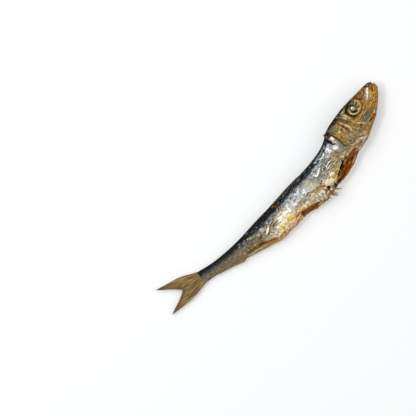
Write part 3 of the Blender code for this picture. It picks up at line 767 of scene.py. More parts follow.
    line("umber", 0.5, 0.12, (22.7, 0.6), (22.8, -0.8), (22.4, -2.2)),
    line("sand", 0.6, 0.13, (22.3, 1.6), (22.1, 0.2), (22.4, -1.0)),
    line("sand", 0.6, 0.13, (20.7, 0.4), (20.6, -0.8), (21.0, -2.0)),
    line("sand", 0.5, 0.14, (23.6, 0.6), (23.8, -0.6), (23.5, -1.8)),
    blot("dark_moss", 0.6, (20.2, 0.2), (0.35, 0.6), 10.0),
    blot("dark_moss", 0.5, (21.8, -0.8), (0.5, 0.35), 20.0),
    blot("dark_moss", 0.5, (20.2, -1.9), (0.4, 0.5), -20.0),
    blot("bark", 0.5, (22.6, -1.6), (0.7, 0.3), 30.0),
    blot("bark", 0.5, (21.2, 1.2), (0.5, 0.3), -30.0),
    blot("sand", 0.5, (21.0, -0.6), (0.4, 0.3)),
    blot("sand", 0.45, (22.6, -0.2), (0.3, 0.5)),
    blot("sand", 0.5, (19.2, -2.2), (0.4, 0.6), 20.0),
    line("dark_moss", 0.8, 0.17, (24.2, -2.3), (22.6, -2.9), (20.6, -3.0), (18.4, -2.7)),
    line("dark_moss", 0.6, 0.15, (18.2, 0.0), (18.1, -1.8), (18.4, -3.0)),
    line("umber", 0.6, 0.12, (17.6, -2.6), (17.6, -3.6), (18.2, -4.6)),
    blot("ash", 0.5, (17.9, -3.8), (0.6, 0.5), 20.0),
    line("umber", 0.9, 0.3, (25.2, 5.5), (24.4, 6.1), (23.2, 6.3)),
    line("copper", 0.7, 0.12, (25.0, 5.8), (24.2, 6.3), (23.0, 6.6)),
    blot("bark", 0.6, (15.2, 1.2), (0.5, 0.8), 20.0),
    blot("sand", 0.6, (15.0, -3.1), (0.5, 0.6)),
    line("umber", 1.0, 0.22, (24.5, 6.0), (24.4, 4.4), (24.35, 3.0), (24.6, 1.4), (25.2, -0.6),
         (25.1, -1.4), rise=-0.1),
    line("brass", 0.7, 0.16, (24.0, 5.0), (23.95, 3.0), (24.2, 1.4), (24.7, -0.4), rise=0.06),
    line("umber", 0.9, 0.26, (24.8, 5.8), (24.6, 4.0), (24.8, 2.0), (25.2, 0.4), (25.6, -1.2)),
    line("bark", 0.85, 0.34, (24.4, 3.6), (24.4, 2.2), (24.8, 0.8)),
    line("rust", 0.8, 0.2, (19.7, 5.6), (19.6, 4.0), (19.8, 2.2), (20.0, 0.6), (19.9, -0.8)),
    line("soot", 0.9, 0.12, (19.8, 3.2), (19.7, 2.2), (19.8, 1.2)),
    line("soot", 0.85, 0.12, (21.0, 3.0), (20.5, 2.95), (19.9, 2.9)),
    blot("sand", 0.8, (20.3, 3.7), (0.35, 0.45)),
    blot("bark", 0.9, (18.1, 5.7), (1.1, 0.5), 10.0),
    line("bark", 0.85, 0.2, (17.4, 5.6), (17.2, 4.2), (17.3, 2.8)),
    blot("olive", 0.7, (26.2, -2.4), (1.1, 1.0)),
    line("cream", 0.85, 0.2, (24.4, -1.9), (23.5, -3.1), (22.3, -3.6), (21.0, -4.2), (20.0, -5.6),
         rise=0.14),
    # the throat
    blot("sand", 0.75, (19.2, -5.4), (2.6, 0.9), 6.0),
    blot("lilac", 0.45, (20.2, -5.0), (1.2, 0.5), 10.0),
    line("cream", 0.8, 0.22, (20.7, -3.7), (20.0, -4.7), (19.2, -5.8), (18.4, -6.6), rise=0.08),
    # a painted highlight along the pale curve of the throat
    line("frost", 0.5, 0.13, (20.5, -3.9), (19.9, -4.7), (19.3, -5.5)),
    line("rose", 0.8, 0.16, (19.6, -3.6), (18.6, -4.4), (17.2, -5.2), (16.4, -5.9)),
    line("umber", 0.7, 0.13, (20.2, -3.9), (19.0, -4.9), (18.0, -6.0)),
    line("tan", 0.8, 0.35, (17.4, -6.2), (15.4, -5.6), (12.8, -5.9)),
)

# Only on the right flank of the trunk, which is the one shown, from the nape to the tail root
TRUNK_MARKS = (
    # behind the gill cover: the nape's slit, whose black is painted shade, and the silver beside
    # it, with painted highlights on it and in the slit
    line("rose", 0.8, 0.2, (24.0, -3.3), (22.6, -4.0), (21.2, -4.6), rise=0.06),
    blot("amber", 0.8, (22.2, -4.9), (1.9, 0.42), 24.0),
    blot("rust", 0.7, (21.4, -5.4), (0.9, 0.4), 30.0),
    blot("orange", 0.6, (24.2, -4.0), (0.9, 0.4), 26.0),
    blot("ash", 0.85, (23.2, -5.9), (2.0, 0.6), 6.0),
    blot("cream", 0.5, (23.4, -6.1), (1.4, 0.25), 6.0),
    blot("moss", 0.5, (22.4, -5.5), (0.8, 0.4)),
    blot("cream", 0.95, (25.6, 4.3), (0.7, 0.9), 12.0, rise=0.1),
    blot("ivory", 0.7, (25.4, 4.5), (0.3, 0.5), 12.0),
    blot("brass", 0.6, (25.4, 3.2), (0.35, 0.3)),
    blot("straw", 0.8, (25.9, 2.7), (0.45, 0.35)),
    blot("silver", 0.7, (27.6, 1.3), (0.9, 1.3), 28.0),
    blot("frost", 1.0, (27.9, 1.4), (0.8, 0.9), 28.0),
    blot("ash", 0.85, (26.0, 0.6), (0.75, 1.7), 12.0),
    blot("steel", 0.4, (25.9, 0.9), (0.35, 1.3), 12.0),
    blot("bark", 0.3, (25.8, -1.0), (0.6, 0.7)),
    line("silver", 0.85, 0.14, (28.6, 1.9), (27.8, 1.0), (26.9, 0.0), rise=0.1),
    line("moss", 0.6, 0.3, (27.2, -0.6), (26.4, -1.8), (25.4, -2.8)),
    blot("brass", 0.6, (25.4, 2.4), (0.4, 0.6)),
    line("soot", 1.0, 0.48, (27.3, 6.4), (27.15, 5.3), (27.05, 4.2), (26.9, 3.2), (26.7, 2.3),
         rise=-0.6),
    blot("frost", 0.95, (26.6, 3.5), (0.2, 0.4)),
    blot("soot", 0.8, (25.4, 7.1), (0.9, 0.35)),
    # a painted highlight in the knob's loop
    blot("ash", 0.75, (26.0, 6.55), (0.35, 0.3)),
    blot("bark", 0.7, (26.5, 6.0), (0.6, 0.35)),
    blot("olive", 0.9, (26.1, 5.4), (0.5, 0.35)),
    # the shoulder's bright silver, whose white glow and strokes are painted highlights, its cracks
    # and the olive skin below
    blot("frost", 0.9, (28.3, 2.1), (0.8, 0.6), 30.0),
    # more painted shade in the slit
    line("soot", 1.0, 0.36, (27.3, 5.6), (27.2, 4.4), (27.1, 3.3), (26.95, 2.5), rise=-0.1),
    blot("silver", 0.5, (28.7, 0.9), (0.7, 0.6)),
    blot("slate", 0.35, (34.0, 4.9), (3.4, 0.9), -4.0),
    blot("steel", 0.35, (34.4, 1.0), (1.4, 0.5)),
    blot("frost", 0.9, (26.75, 2.6), (0.15, 0.22)),
    blot("bark", 0.35, (25.4, 2.4), (0.35, 0.5)),
    blot("frost", 0.6, (29.8, 3.3), (0.6, 1.1), -8.0),
    line("frost", 0.9, 0.18, (30.4, 4.3), (30.3, 3.4), (30.4, 2.4), (29.8, 1.6), rise=0.1),
    line("silver", 0.9, 0.2, (28.0, 4.6), (28.9, 4.1), (29.4, 3.2), rise=0.06),
    line("frost", 0.85, 0.16, (34.9, 4.0), (33.4, 3.8), (32.2, 4.1), (31.4, 4.6), rise=0.08),
    line("steel", 0.7, 0.16, (34.9, 4.7), (33.6, 4.5), (32.2, 4.9)),
    line("silver", 0.7, 0.14, (33.9, 3.1), (32.6, 2.9), (31.5, 3.1), rise=0.06),
    blot("silver", 0.3, (30.2, 4.6), (2.0, 0.7), -4.0),
    blot("ink", 0.8, (28.4, 6.2), (1.2, 0.35), -8.0),
    line("silver", 0.6, 0.12, (34.6, 5.0), (33.0, 4.95), (31.6, 5.3), (29.4, 5.5)),
    line("steel", 0.8, 0.18, (37.6, 5.1), (35.6, 4.8), (33.8, 5.2)),
    line("silver", 0.6, 0.13, (37.0, 4.9), (35.6, 4.6), (34.4, 4.3)),
    line("ink", 1.0, 0.26, (32.5, 4.7), (31.5, 4.5), (30.9, 5.15), (29.9, 4.75), (28.6, 5.3),
         rise=-0.16),
    line("slate", 0.9, 0.16, (30.8, 4.4), (31.2, 4.9), (32.0, 5.3)),
    line("silver", 0.8, 0.13, (30.6, 5.2), (29.4, 4.6), (28.2, 4.9)),
    line("slate", 0.8, 0.18, (29.2, 3.6), (28.9, 2.4), (28.4, 1.4), rise=-0.1),
    line("slate", 0.7, 0.14, (31.6, 3.9), (31.3, 2.8), (30.9, 1.8), rise=-0.08),
    line("silver", 0.8, 0.14, (28.9, 1.6), (28.4, 0.5), (27.6, -0.2), rise=0.06),
    blot("olive", 0.9, (29.5, 0.3), (1.8, 1.3)),
    blot("bark", 0.25, (29.9, 0.0), (0.9, 0.7)),
    blot("silver", 0.4, (32.0, 2.3), (2.6, 0.6)),
    blot("moss", 0.5, (27.6, -1.2), (1.0, 1.3), 20.0),
    blot("tan", 0.4, (31.5, 0.4), (1.2, 0.9)),
    line("umber", 0.7, 0.13, (28.9, 0.9), (28.8, 0.0), (28.4, -0.9)),
    blot("soot", 0.8, (27.4, -1.6), (0.3, 0.2)),
    blot("ivory", 0.8, (27.3, -2.1), (0.3, 0.2)),
    # the long wrinkles of the front flank, with painted highlights along their raised pale edges
    blot("olive", 0.7, (34.0, 0.1), (2.2, 0.5), 4.0),
    line("frost", 0.9, 0.16, (36.0, 0.0), (34.8, 0.65), (33.6, 0.7), (32.3, 0.35), rise=0.15),
    line("ivory", 0.85, 0.14, (36.3, -0.5), (35.2, -0.3), (34.0, -0.4), (32.6, -0.2), rise=0.13),
    line("umber", 0.9, 0.14, (35.4, 0.15), (34.2, 0.25), (32.6, 0.2), rise=-0.18),
    line("dark_moss", 0.95, 0.16, (36.4, -0.9), (34.8, -0.7), (33.0, -0.6), (31.6, -0.9),
         rise=-0.14),
    line("dark_moss", 0.9, 0.15, (35.6, 1.1), (33.8, 1.25), (32.0, 1.0), rise=-0.14),
    line("ash", 0.8, 0.16, (36.2, 1.6), (34.6, 1.9), (33.0, 1.7), (31.6, 1.3)),
    line("dark_moss", 0.8, 0.14, (36.4, 2.2), (34.6, 2.5), (32.8, 2.2), rise=-0.1),
    blot("moss", 0.7, (33.2, -1.8), (3.2, 0.8), 4.0),
    blot("sand", 0.6, (32.4, -3.1), (1.8, 0.35), 4.0),
    line("cream", 0.6, 0.13, (33.9, -1.25), (32.8, -1.1), (31.4, -1.4), rise=0.08),
    line("umber", 0.9, 0.16, (35.2, -1.35), (34.2, -1.75), (32.6, -1.6), (31.4, -2.0), rise=-0.14),
    line("brass", 0.8, 0.17, (36.0, -1.9), (35.0, -2.1), (34.0, -2.5)),
    line("sand", 0.8, 0.14, (33.4, -1.9), (32.4, -2.25), (31.2, -2.3), rise=0.06),
    blot("ash", 0.6, (34.6, -1.6), (1.0, 0.3), -10.0),
    line("umber", 0.9, 0.15, (34.2, -2.9), (33.2, -2.5), (32.0, -2.75), rise=-0.12),
    line("umber", 0.7, 0.13, (35.9, -2.6), (34.9, -3.1), (34.3, -3.6), rise=-0.1),
    line("sand", 0.8, 0.15, (34.0, -3.3), (32.8, -3.05), (31.8, -3.25), rise=0.08),
    line("brass", 0.9, 0.22, (36.4, -4.2), (34.8, -4.0), (33.0, -3.8), (31.8, -3.5)),
    blot("gold", 0.5, (32.6, -1.4), (0.5, 0.2)),
    blot("amber", 0.85, (30.2, -2.7), (0.22, 0.6), -10.0),
    line("umber", 0.7, 0.12, (30.8, 0.9), (30.4, -0.2), (29.8, -1.2)),
    line("umber", 0.6, 0.12, (31.0, -0.6), (30.3, -1.4), (30.5, -2.2)),
    # crumpled silver in front of the smooth patch, with a painted glint along its bright arc
    line("frost", 1.0, 0.3, (41.0, 2.3), (40.8, 1.6), (40.1, 1.3), (38.9, 1.7), (37.4, 2.2),
         rise=0.16),
    line("steel", 0.95, 0.22, (41.3, 0.7), (39.9, 0.5), (38.0, 1.0), (36.6, 1.6), rise=-0.14),
    line("umber", 0.85, 0.13, (40.2, 2.5), (39.8, 2.75), (39.2, 2.6), (39.6, 2.3), rise=-0.08),
    line("silver", 0.8, 0.12, (41.4, 3.4), (39.8, 3.6), (38.6, 3.2), rise=0.06),
    line("slate", 0.85, 0.13, (41.0, 3.0), (39.6, 3.15), (38.2, 2.8), (36.8, 3.0), rise=-0.08),
    line("silver", 0.8, 0.12, (38.4, 4.0), (37.4, 3.6), (36.6, 2.8), (35.6, 2.9)),
    line("ink", 0.85, 0.15, (38.2, 4.5), (37.4, 4.1), (36.4, 3.8), (35.2, 4.2)),
    line("silver", 0.7, 0.12, (37.6, 4.9), (36.8, 4.6), (36.0, 4.4)),
    blot("ash", 0.9, (39.0, -0.3), (2.4, 0.9)),
    line("umber", 0.6, 0.12, (41.4, 0.2), (39.6, 0.0), (38.2, -0.2)),
    line("umber", 0.5, 0.12, (41.2, -0.5), (39.8, -0.7), (38.4, -0.9)),
    line("copper", 0.85, 0.2, (37.7, 1.3), (37.6, 0.5), (37.5, -0.1)),
    line("lilac", 0.7, 0.2, (38.4, -0.1), (36.9, -1.0), (35.9, -1.6)),
    line("dark_moss", 0.7, 0.14, (36.9, 0.9), (36.6, 0.0), (36.4, -1.0)),
    # the smooth pale patch
    blot("ash", 0.5, (44.6, 1.1), (3.2, 2.6), -6.0, soft=0.3),
    blot("cream", 0.75, (45.2, 1.0), (2.5, 2.1), -6.0, soft=0.5),
    blot("lilac", 0.3, (45.4, 0.4), (1.2, 1.0), -6.0, soft=0.6),
    blot("moss", 0.4, (43.0, 1.6), (0.8, 1.6)),
    line("dark_moss", 0.6, 0.13, (43.0, 2.6), (42.6, 1.4), (42.7, 0.2)),
    line("cream", 0.6, 0.13, (42.3, 2.0), (42.1, 0.9), (42.4, -0.2)),
    # painted glints at the patch's rear
    blot("silver", 0.7, (47.4, 1.4), (0.7, 1.3)),
    blot("frost", 0.8, (48.0, 1.0), (0.7, 0.9)),
    blot("olive", 0.45, (42.2, 1.1), (0.6, 1.2)),
    line("frost", 0.95, 0.22, (48.2, 2.0), (47.7, 1.4), (47.3, 1.1), rise=0.14),
    line("frost", 0.6, 0.14, (50.9, 2.2), (49.6, 2.5), (48.6, 3.4), rise=0.08),
    line("slate", 0.6, 0.12, (48.6, 2.4), (48.1, 1.6), (48.3, 0.9)),
    line("umber", 0.95, 0.17, (48.8, -0.9), (47.9, -0.5), (47.2, -0.65), (46.5, -1.15),
         (45.5, -1.2), rise=-0.18),
    line("copper", 0.8, 0.13, (48.6, -0.6), (47.6, -0.25), (46.8, -0.5)),
    line("umber", 0.8, 0.12, (45.5, -1.2), (45.5, -2.4), (45.6, -3.6), rise=-0.12),
    blot("umber", 0.9, (48.7, 0.15), (0.28, 0.24), rise=-0.1),
    # the scaly belly below it, the hole that the belly fins left and the dark belly edge
    blot("olive", 0.9, (43.6, -2.1), (2.0, 0.75), 4.0),
    blot("umber", 0.4, (44.0, -2.5), (1.6, 0.3)),
    blot("sand", 0.9, (43.8, -4.4), (2.0, 1.9)),
    blot("ivory", 0.8, (44.0, -4.0), (0.9, 0.9)),
    blot("copper", 0.85, (41.4, -2.3), (0.9, 0.8)),
    line("ivory", 0.95, 0.15, (41.7, -2.4), (40.6, -2.0), (39.5, -1.6), rise=0.14),
    line("ivory", 0.9, 0.13, (41.0, -3.0), (39.9, -2.6), (39.2, -1.7), rise=0.1),
    line("umber", 0.95, 0.14, (42.0, -1.7), (41.0, -1.3), (39.6, -1.2), rise=-0.14),
    line("umber", 0.9, 0.13, (41.6, -3.4), (40.5, -2.9), (39.6, -2.1), rise=-0.12),
    line("amber", 0.9, 0.14, (42.0, -3.9), (41.2, -3.4), (40.2, -3.0), rise=0.08),
    blot("copper", 0.6, (40.0, -1.5), (1.0, 0.3), 20.0),
    blot("copper", 0.5, (42.0, -3.1), (0.6, 0.6)),
    blot("moss", 0.5, (39.6, 0.2), (1.6, 0.6)),
    blot("ivory", 0.9, (39.2, -3.6), (1.9, 0.95), 18.0, rise=0.12, soft=0.3),
    blot("straw", 0.6, (38.6, -3.8), (1.0, 0.8), 18.0),
    blot("ivory", 1.0, (36.6, -2.9), (0.95, 0.6), 20.0, rise=0.06),
    blot("gold", 0.5, (37.4, -3.9), (0.5, 0.8)),
    blot("brass", 0.85, (36.3, -4.3), (1.4, 0.8)),
    line("umber", 0.85, 0.15, (35.5, -3.2), (35.3, -4.2), (35.6, -5.0), rise=-0.1),
    blot("straw", 0.6, (37.2, -4.9), (0.9, 0.35)),
    blot("orange", 0.7, (36.4, -5.9), (1.4, 0.35), 14.0),
    line("ivory", 0.9, 0.2, (45.3, -3.0), (44.8, -3.9), (45.1, -4.9), rise=0.1),
    line("ivory", 1.0, 0.16, (44.4, -4.4), (43.7, -5.2), (44.3, -6.1), rise=0.13),
    line("ivory", 0.95, 0.22, (43.5, -3.5), (43.1, -4.3), (43.4, -5.0), rise=0.12),
    line("umber", 0.9, 0.14, (44.3, -3.3), (44.4, -4.1), (43.9, -4.7), (43.9, -5.6), rise=-0.12),
    line("umber", 0.8, 0.13, (42.9, -5.0), (43.3, -5.6), (43.0, -6.3), rise=-0.1),
    line("umber", 0.7, 0.12, (45.7, -4.6), (45.1, -5.3), (45.5, -6.2)),
    blot("ivory", 0.85, (45.4, -5.7), (0.35, 0.3)),
    line("rust", 0.95, 0.2, (42.6, -4.0), (42.3, -4.6), (42.4, -5.2), rise=0.08),
    blot("ivory", 0.85, (41.9, -3.9), (0.32, 0.28)),
    blot("ivory", 0.8, (40.9, -6.0), (0.4, 0.3)),
    blot("ivory", 0.7, (42.2, -5.8), (0.4, 0.3)),
    blot("russet", 1.0, (40.9, -5.0), (0.75, 0.8), rise=-0.3),
    blot("soot", 0.95, (40.7, -4.9), (0.42, 0.6)),
    blot("copper", 0.9, (42.2, -5.0), (0.4, 0.7)),
    blot("soot", 0.9, (41.5, -5.7), (0.2, 0.5)),
    blot("soot", 1.0, (38.6, -6.0), (0.5, 0.5), 15.0, rise=-0.25),
    blot("ivory", 0.8, (38.0, -5.9), (0.25, 0.2)),
    blot("soot", 0.95, (36.6, -6.9), (1.4, 0.3)),
    blot("soot", 0.9, (34.6, -7.1), (0.7, 0.25)),
    blot("soot", 0.9, (39.0, -6.7), (0.6, 0.4)),
    line("sand", 0.8, 0.16, (29.4, -7.2), (27.8, -6.9), (26.2, -6.6)),
    blot("amber", 0.7, (37.6, -6.2), (0.5, 0.4)),
    blot("umber", 0.85, (39.7, -6.1), (0.5, 0.6)),
    blot("umber", 0.7, (42.6, -6.7), (1.0, 0.3)),
    # the front tear's black crack, a painted shadow in the gap under the skin's edge, and streaks
    # in the flesh of both tears
    line("soot", 1.0, 0.5, (30.3, -2.5), (30.7, -3.1), (31.2, -3.7), (32.2, -4.15), (33.6, -4.45),
         (35.4, -4.8), rise=-0.12),
    blot("soot", 1.0, (30.8, -3.3), (0.55, 1.0), -22.0),
    blot("soot", 1.0, (31.9, -4.25), (0.7, 0.62), 10.0),
    blot("soot", 1.0, (33.1, -4.55), (0.55, 0.6), 12.0),
    blot("soot", 1.0, (34.3, -4.75), (0.5, 0.6), -12.0),
    blot("soot", 0.95, (35.3, -4.95), (0.55, 0.5)),
    blot("soot", 0.95, (28.9, -3.95), (0.55, 0.32), 20.0, rise=-0.2),
    blot("orange", 0.6, (33.7, -4.9), (0.3, 0.2)),
    blot("amber", 0.8, (29.7, -2.8), (0.25, 0.45), 10.0),
    line("ivory", 0.9, 0.14, (30.8, -2.6), (31.3, -3.15), (32.3, -3.5), rise=0.12),
    line("straw", 0.6, 0.12, (33.0, -3.95), (34.4, -4.15), (35.2, -4.2), rise=0.12),
    line("straw", 0.8, 0.13, (27.0, -2.6), (28.6, -2.4), (29.6, -2.9)),
    line("umber", 0.85, 0.13, (26.6, -3.2), (27.8, -2.9), (29.2, -3.1), rise=-0.1),
    blot("rust", 0.8, (35.0, -6.5), (1.2, 0.4), 6.0),
    blot("umber", 0.6, (30.0, -5.5), (1.0, 0.35), 6.0),
    blot("amber", 0.65, (27.0, -4.5), (2.4, 0.4), 8.0),
    blot("amber", 0.4, (36.5, -5.8), (1.2, 0.35), 14.0),
    blot("soot", 0.9, (28.8, -3.8), (0.5, 0.3), 20.0),
    blot("sand", 0.4, (32.3, -2.8), (2.0, 0.5), 12.0),
    # more painted shadow in the crack
    line("soot", 0.95, 0.26, (31.6, -3.75), (31.0, -3.4), (30.5, -2.8), rise=-0.1),
    blot("soot", 0.9, (33.1, -4.35), (1.0, 0.32), 14.0),
    blot("soot", 0.9, (34.9, -4.75), (0.8, 0.26), 10.0),
    line("soot", 0.85, 0.18, (38.4, -6.75), (36.6, -6.9), (33.8, -6.95)),
    blot("rust", 0.6, (42.3, -5.0), (0.7, 0.5)),
    line("orange", 0.75, 0.22, (53.4, -3.9), (51.2, -4.1), (48.6, -4.6)),
    line("amber", 0.5, 0.25, (52.6, -4.3), (51.0, -4.6), (48.8, -5.1)),
    blot("umber", 0.7, (53.6, -4.2), (0.6, 0.3)),
    blot("copper", 0.4, (27.2, -5.2), (1.4, 0.5), 20.0),
    blot("copper", 0.5, (50.5, -5.1), (2.8, 0.8), 14.0),
    # between the tears, and above the rear one
    blot("cream", 0.75, (47.3, -2.8), (1.5, 1.6)),
    blot("olive", 0.6, (45.2, -2.1), (0.7, 0.8)),
    blot("rose", 0.45, (47.4, -3.2), (1.2, 1.2)),
    line("umber", 0.8, 0.12, (48.9, -2.6), (48.6, -1.9), (47.8, -1.6), (46.4, -1.7), rise=-0.1),
    line("ivory", 0.8, 0.15, (46.0, -2.2), (46.3, -3.1), (45.9, -3.8), rise=0.07),
    line("ivory", 0.8, 0.14, (47.4, -2.0), (47.2, -2.9), (47.6, -3.6), rise=0.07),
    line("copper", 0.6, 0.13, (46.8, -2.6), (46.6, -3.5), (46.9, -4.5), rise=-0.06),
    blot("rose", 0.5, (48.3, -2.9), (0.5, 0.7), 12.0),
    blot("ivory", 0.6, (46.6, -4.4), (0.5, 0.4)),
    # painted highlights: the ivory and near-white spots above the rear tear
    blot("ivory", 0.9, (49.9, -2.7), (0.7, 0.5), 14.0, rise=0.08),
    blot("straw", 0.85, (52.0, -2.7), (1.8, 0.5), 12.0),
    line("ivory", 0.8, 0.13, (53.4, -2.5), (52.0, -2.6), (50.8, -3.1), rise=0.06),
    line("amber", 0.8, 0.14, (54.0, -2.7), (52.6, -2.9), (51.2, -3.5)),
    blot("gold", 0.5, (53.2, -2.9), (0.9, 0.3), 12.0),
    blot("olive", 0.75, (51.4, -1.2), (2.6, 0.9), 6.0),
    # painted highlights
    blot("frost", 0.7, (50.6, -2.4), (0.5, 0.25), 10.0),
    blot("frost", 0.6, (51.9, -2.3), (0.5, 0.2), 10.0),
    # the fin's fold and the brown stains on the back
    line("dark_moss", 0.7, 0.22, (45.0, 5.7), (49.0, 6.05), (54.0, 6.05), (58.0, 5.7)),
    blot("umber", 0.6, (48.0, 5.95), (2.6, 0.22)),
    blot("umber", 0.95, (58.9, 5.05), (1.3, 0.36), -14.0),
    blot("amber", 0.9, (60.5, 5.35), (0.4, 0.22), -15.0),
    line("rust", 0.9, 0.14, (59.8, 4.9), (59.4, 4.4), (59.1, 4.0)),
    # the golden belly of the trunk's rear, whose ivory and near-white spots are painted glints
    blot("cream", 0.9, (59.4, -0.5), (4.2, 2.6), 4.0, soft=0.25),
    blot("ivory", 0.3, (59.6, 0.4), (3.0, 1.1), soft=0.4),
    blot("straw", 0.85, (60.4, -2.9), (4.6, 1.8), 4.0, soft=0.4),
    blot("ivory", 0.85, (60.9, -1.5), (1.3, 0.55), -6.0),
    blot("frost", 0.5, (61.4, -1.5), (0.6, 0.3), -6.0),
    blot("ivory", 0.7, (60.8, 0.6), (0.5, 0.35)),
    blot("ivory", 0.8, (61.3, -0.3), (0.4, 0.6)),
    blot("frost", 0.5, (59.2, 0.7), (0.5, 0.4)),
    blot("ivory", 0.7, (57.2, 0.2), (0.7, 1.0), -14.0),
    blot("ivory", 0.85, (58.3, -1.4), (0.7, 0.5)),
    blot("olive", 0.7, (64.0, -0.3), (1.8, 0.6), 16.0),
    blot("ash", 0.5, (63.6, -0.2), (1.0, 0.3), 16.0),
    blot("orange", 0.9, (59.3, -2.1), (0.28, 0.5)),
    blot("saffron", 0.6, (57.4, -2.0), (0.8, 0.4), 20.0),
    blot("saffron", 0.75, (58.0, -3.0), (0.9, 0.5), -10.0),
    blot("saffron", 0.8, (64.2, -3.6), (0.9, 0.5)),
    blot("saffron", 0.6, (62.6, -3.4), (1.2, 0.45)),
    blot("saffron", 0.7, (58.9, -2.1), (0.5, 0.8)),
    blot("gold", 0.5, (57.8, -2.7), (1.8, 0.35), -6.0),
    blot("gold", 0.5, (63.0, -3.6), (1.2, 0.3), 8.0),
    blot("saffron", 0.6, (55.6, -3.2), (0.8, 0.4)),
    blot("cream", 0.5, (61.0, -2.6), (0.5, 0.5)),
    line("saffron", 0.7, 0.3, (62.4, -4.0), (59.5, -4.2), (56.2, -4.1)),
    line("orange", 0.5, 0.2, (65.8, -5.6), (63.8, -5.2), (61.5, -5.4)),
    line("amber", 0.5, 0.25, (61.5, -5.3), (59.0, -5.2), (56.5, -5.2)),
    blot("ivory", 0.6, (62.8, -2.5), (0.6, 0.3)),
    blot("saffron", 0.8, (59.2, -2.4), (0.5, 0.8)),
    blot("orange", 0.7, (58.2, -1.5), (0.3, 0.25)),
    blot("saffron", 0.7, (60.6, -3.0), (0.4, 0.5)),
    blot("saffron", 0.85, (63.2, -3.2), (0.9, 0.45)),
    blot("orange", 0.9, (63.6, -3.3), (0.4, 0.35)),
    blot("orange", 0.7, (62.3, -3.3), (0.3, 0.35)),
    blot("saffron", 0.8, (62.8, -2.4), (0.3, 0.4)),
    blot("ivory", 0.8, (65.6, -2.6), (0.7, 0.35), -40.0),
    blot("ivory", 0.7, (66.6, -3.2), (0.7, 0.35), -40.0),
    blot("ivory", 0.7, (65.2, -4.2), (1.3, 0.4), 6.0),
    blot("lilac", 0.4, (60.0, 1.0), (1.6, 0.4)),
    blot("amber", 0.8, (56.0, -3.0), (0.8, 0.6), -20.0),
    blot("ivory", 0.9, (64.4, -3.9), (1.0, 0.6)),
    blot("cream", 0.8, (65.8, -2.9), (0.9, 0.6), -40.0),
    blot("orange", 0.7, (65.0, -3.4), (0.5, 0.3), -30.0),
    blot("amber", 0.9, (64.1, -4.6), (0.35, 0.25)),
    blot("ivory", 0.85, (63.8, -1.9), (0.8, 0.4), 20.0),
    blot("cream", 0.8, (59.8, -4.1), (2.8, 0.45)),
    blot("rose", 0.6, (59.2, -4.3), (1.8, 0.25)),
    blot("ivory", 0.7, (58.6, -3.9), (0.5, 0.2)),
    blot("ivory", 0.7, (61.4, -4.0), (0.5, 0.2)),
    blot("lilac", 0.6, (57.4, -4.2), (0.7, 0.2)),
    line("rose", 0.9, 0.16, (62.2, 1.0), (60.2, 1.6), (58.6, 1.8), (56.8, 1.5), (55.4, 0.4),
         rise=0.06),
    line("ash", 0.6, 0.14, (62.0, 1.5), (60.0, 2.1), (57.6, 2.2)),
    blot("lilac", 0.85, (66.1, -1.5), (0.8, 0.5), 20.0),
    line("umber", 0.9, 0.22, (65.6, -0.8), (64.8, -0.2), (63.8, 0.1), (62.3, 0.2), rise=-0.12),
    line("ash", 0.9, 0.2, (65.4, -1.3), (64.4, -0.8), (63.2, -0.5)),
    # the pale fold, partly a painted highlight along its ridge, and the crease beside it
    line("cream", 1.0, 0.46, (69.0, -1.15), (67.9, -0.4), (67.0, 0.25), (66.0, 0.9), rise=0.26),
    line("ivory", 0.7, 0.22, (68.5, -0.75), (67.6, -0.15), (66.7, 0.45)),
    line("umber", 0.95, 0.18, (68.4, -1.7), (67.2, -0.8), (66.2, 0.2), (64.9, 0.9), (63.4, 1.1),
         rise=-0.24),
    line("brass", 0.85, 0.18, (67.0, -1.1), (66.0, -0.1), (64.8, 0.5), (63.4, 0.8), (61.8, 1.1)),
    blot("ivory", 0.9, (67.4, -2.0), (0.5, 0.25), 20.0),
    line("ivory", 0.95, 0.16, (67.2, -2.4), (66.0, -3.1), (65.0, -3.9), rise=0.1),
    line("copper", 0.8, 0.12, (67.4, -2.8), (66.2, -3.5), (65.3, -4.1), rise=-0.06),
    line("ivory", 0.7, 0.14, (68.0, -2.9), (66.8, -3.6), (65.8, -4.4), rise=0.1),
    line("rose", 0.8, 0.16, (66.6, -1.9), (65.4, -2.4), (64.6, -2.8)),
    # the keel behind the fold, the rear edge of the gold and an olive line along the back
    blot("tan", 0.75, (70.6, -4.4), (5.0, 0.9), 12.0),
    blot("copper", 0.7, (70.2, -4.1), (1.6, 0.4), 12.0),
    line("cream", 0.8, 0.24, (79.0, -3.25), (77.0, -3.4), (74.0, -3.8), (72.0, -4.2), rise=0.1),
    line("sand", 0.6, 0.2, (72.0, -3.85), (70.0, -4.4), (67.6, -5.1), rise=0.1),
    blot("amber", 0.5, (68.6, -4.6), (1.2, 0.35), 18.0),
    line("tan", 0.7, 0.14, (76.0, -3.7), (72.0, -4.3), (69.0, -5.1), rise=-0.05),
    line("bark", 1.0, 0.5, (78.6, -2.1), (76.6, -2.4), (75.0, -2.6), (72.8, -2.85), (71.0, -3.05),
         rise=-0.2),
    line("copper", 0.95, 0.42, (72.4, -3.1), (70.0, -3.8), (68.6, -4.15), (67.1, -4.8),
         (65.9, -5.3), rise=-0.08),
    line("rust", 1.0, 0.26, (71.8, -2.95), (70.0, -3.5), (68.6, -3.85), (67.1, -4.5), (65.9, -5.1),
         rise=-0.15),
    line("soot", 0.95, 0.28, (73.6, -2.75), (72.2, -2.85), (70.6, -3.2), rise=-0.1),
    line("amber", 0.6, 0.13, (76.4, -2.2), (74.4, -2.4), (72.4, -2.5)),
    line("amber", 0.9, 0.15, (71.0, -2.8), (69.6, -3.4), (67.8, -4.0), (66.4, -4.7)),
    blot("orange", 0.9, (70.8, -2.1), (0.25, 0.45)),
    blot("sand", 0.8, (66.2, -5.3), (0.8, 0.3), 8.0),
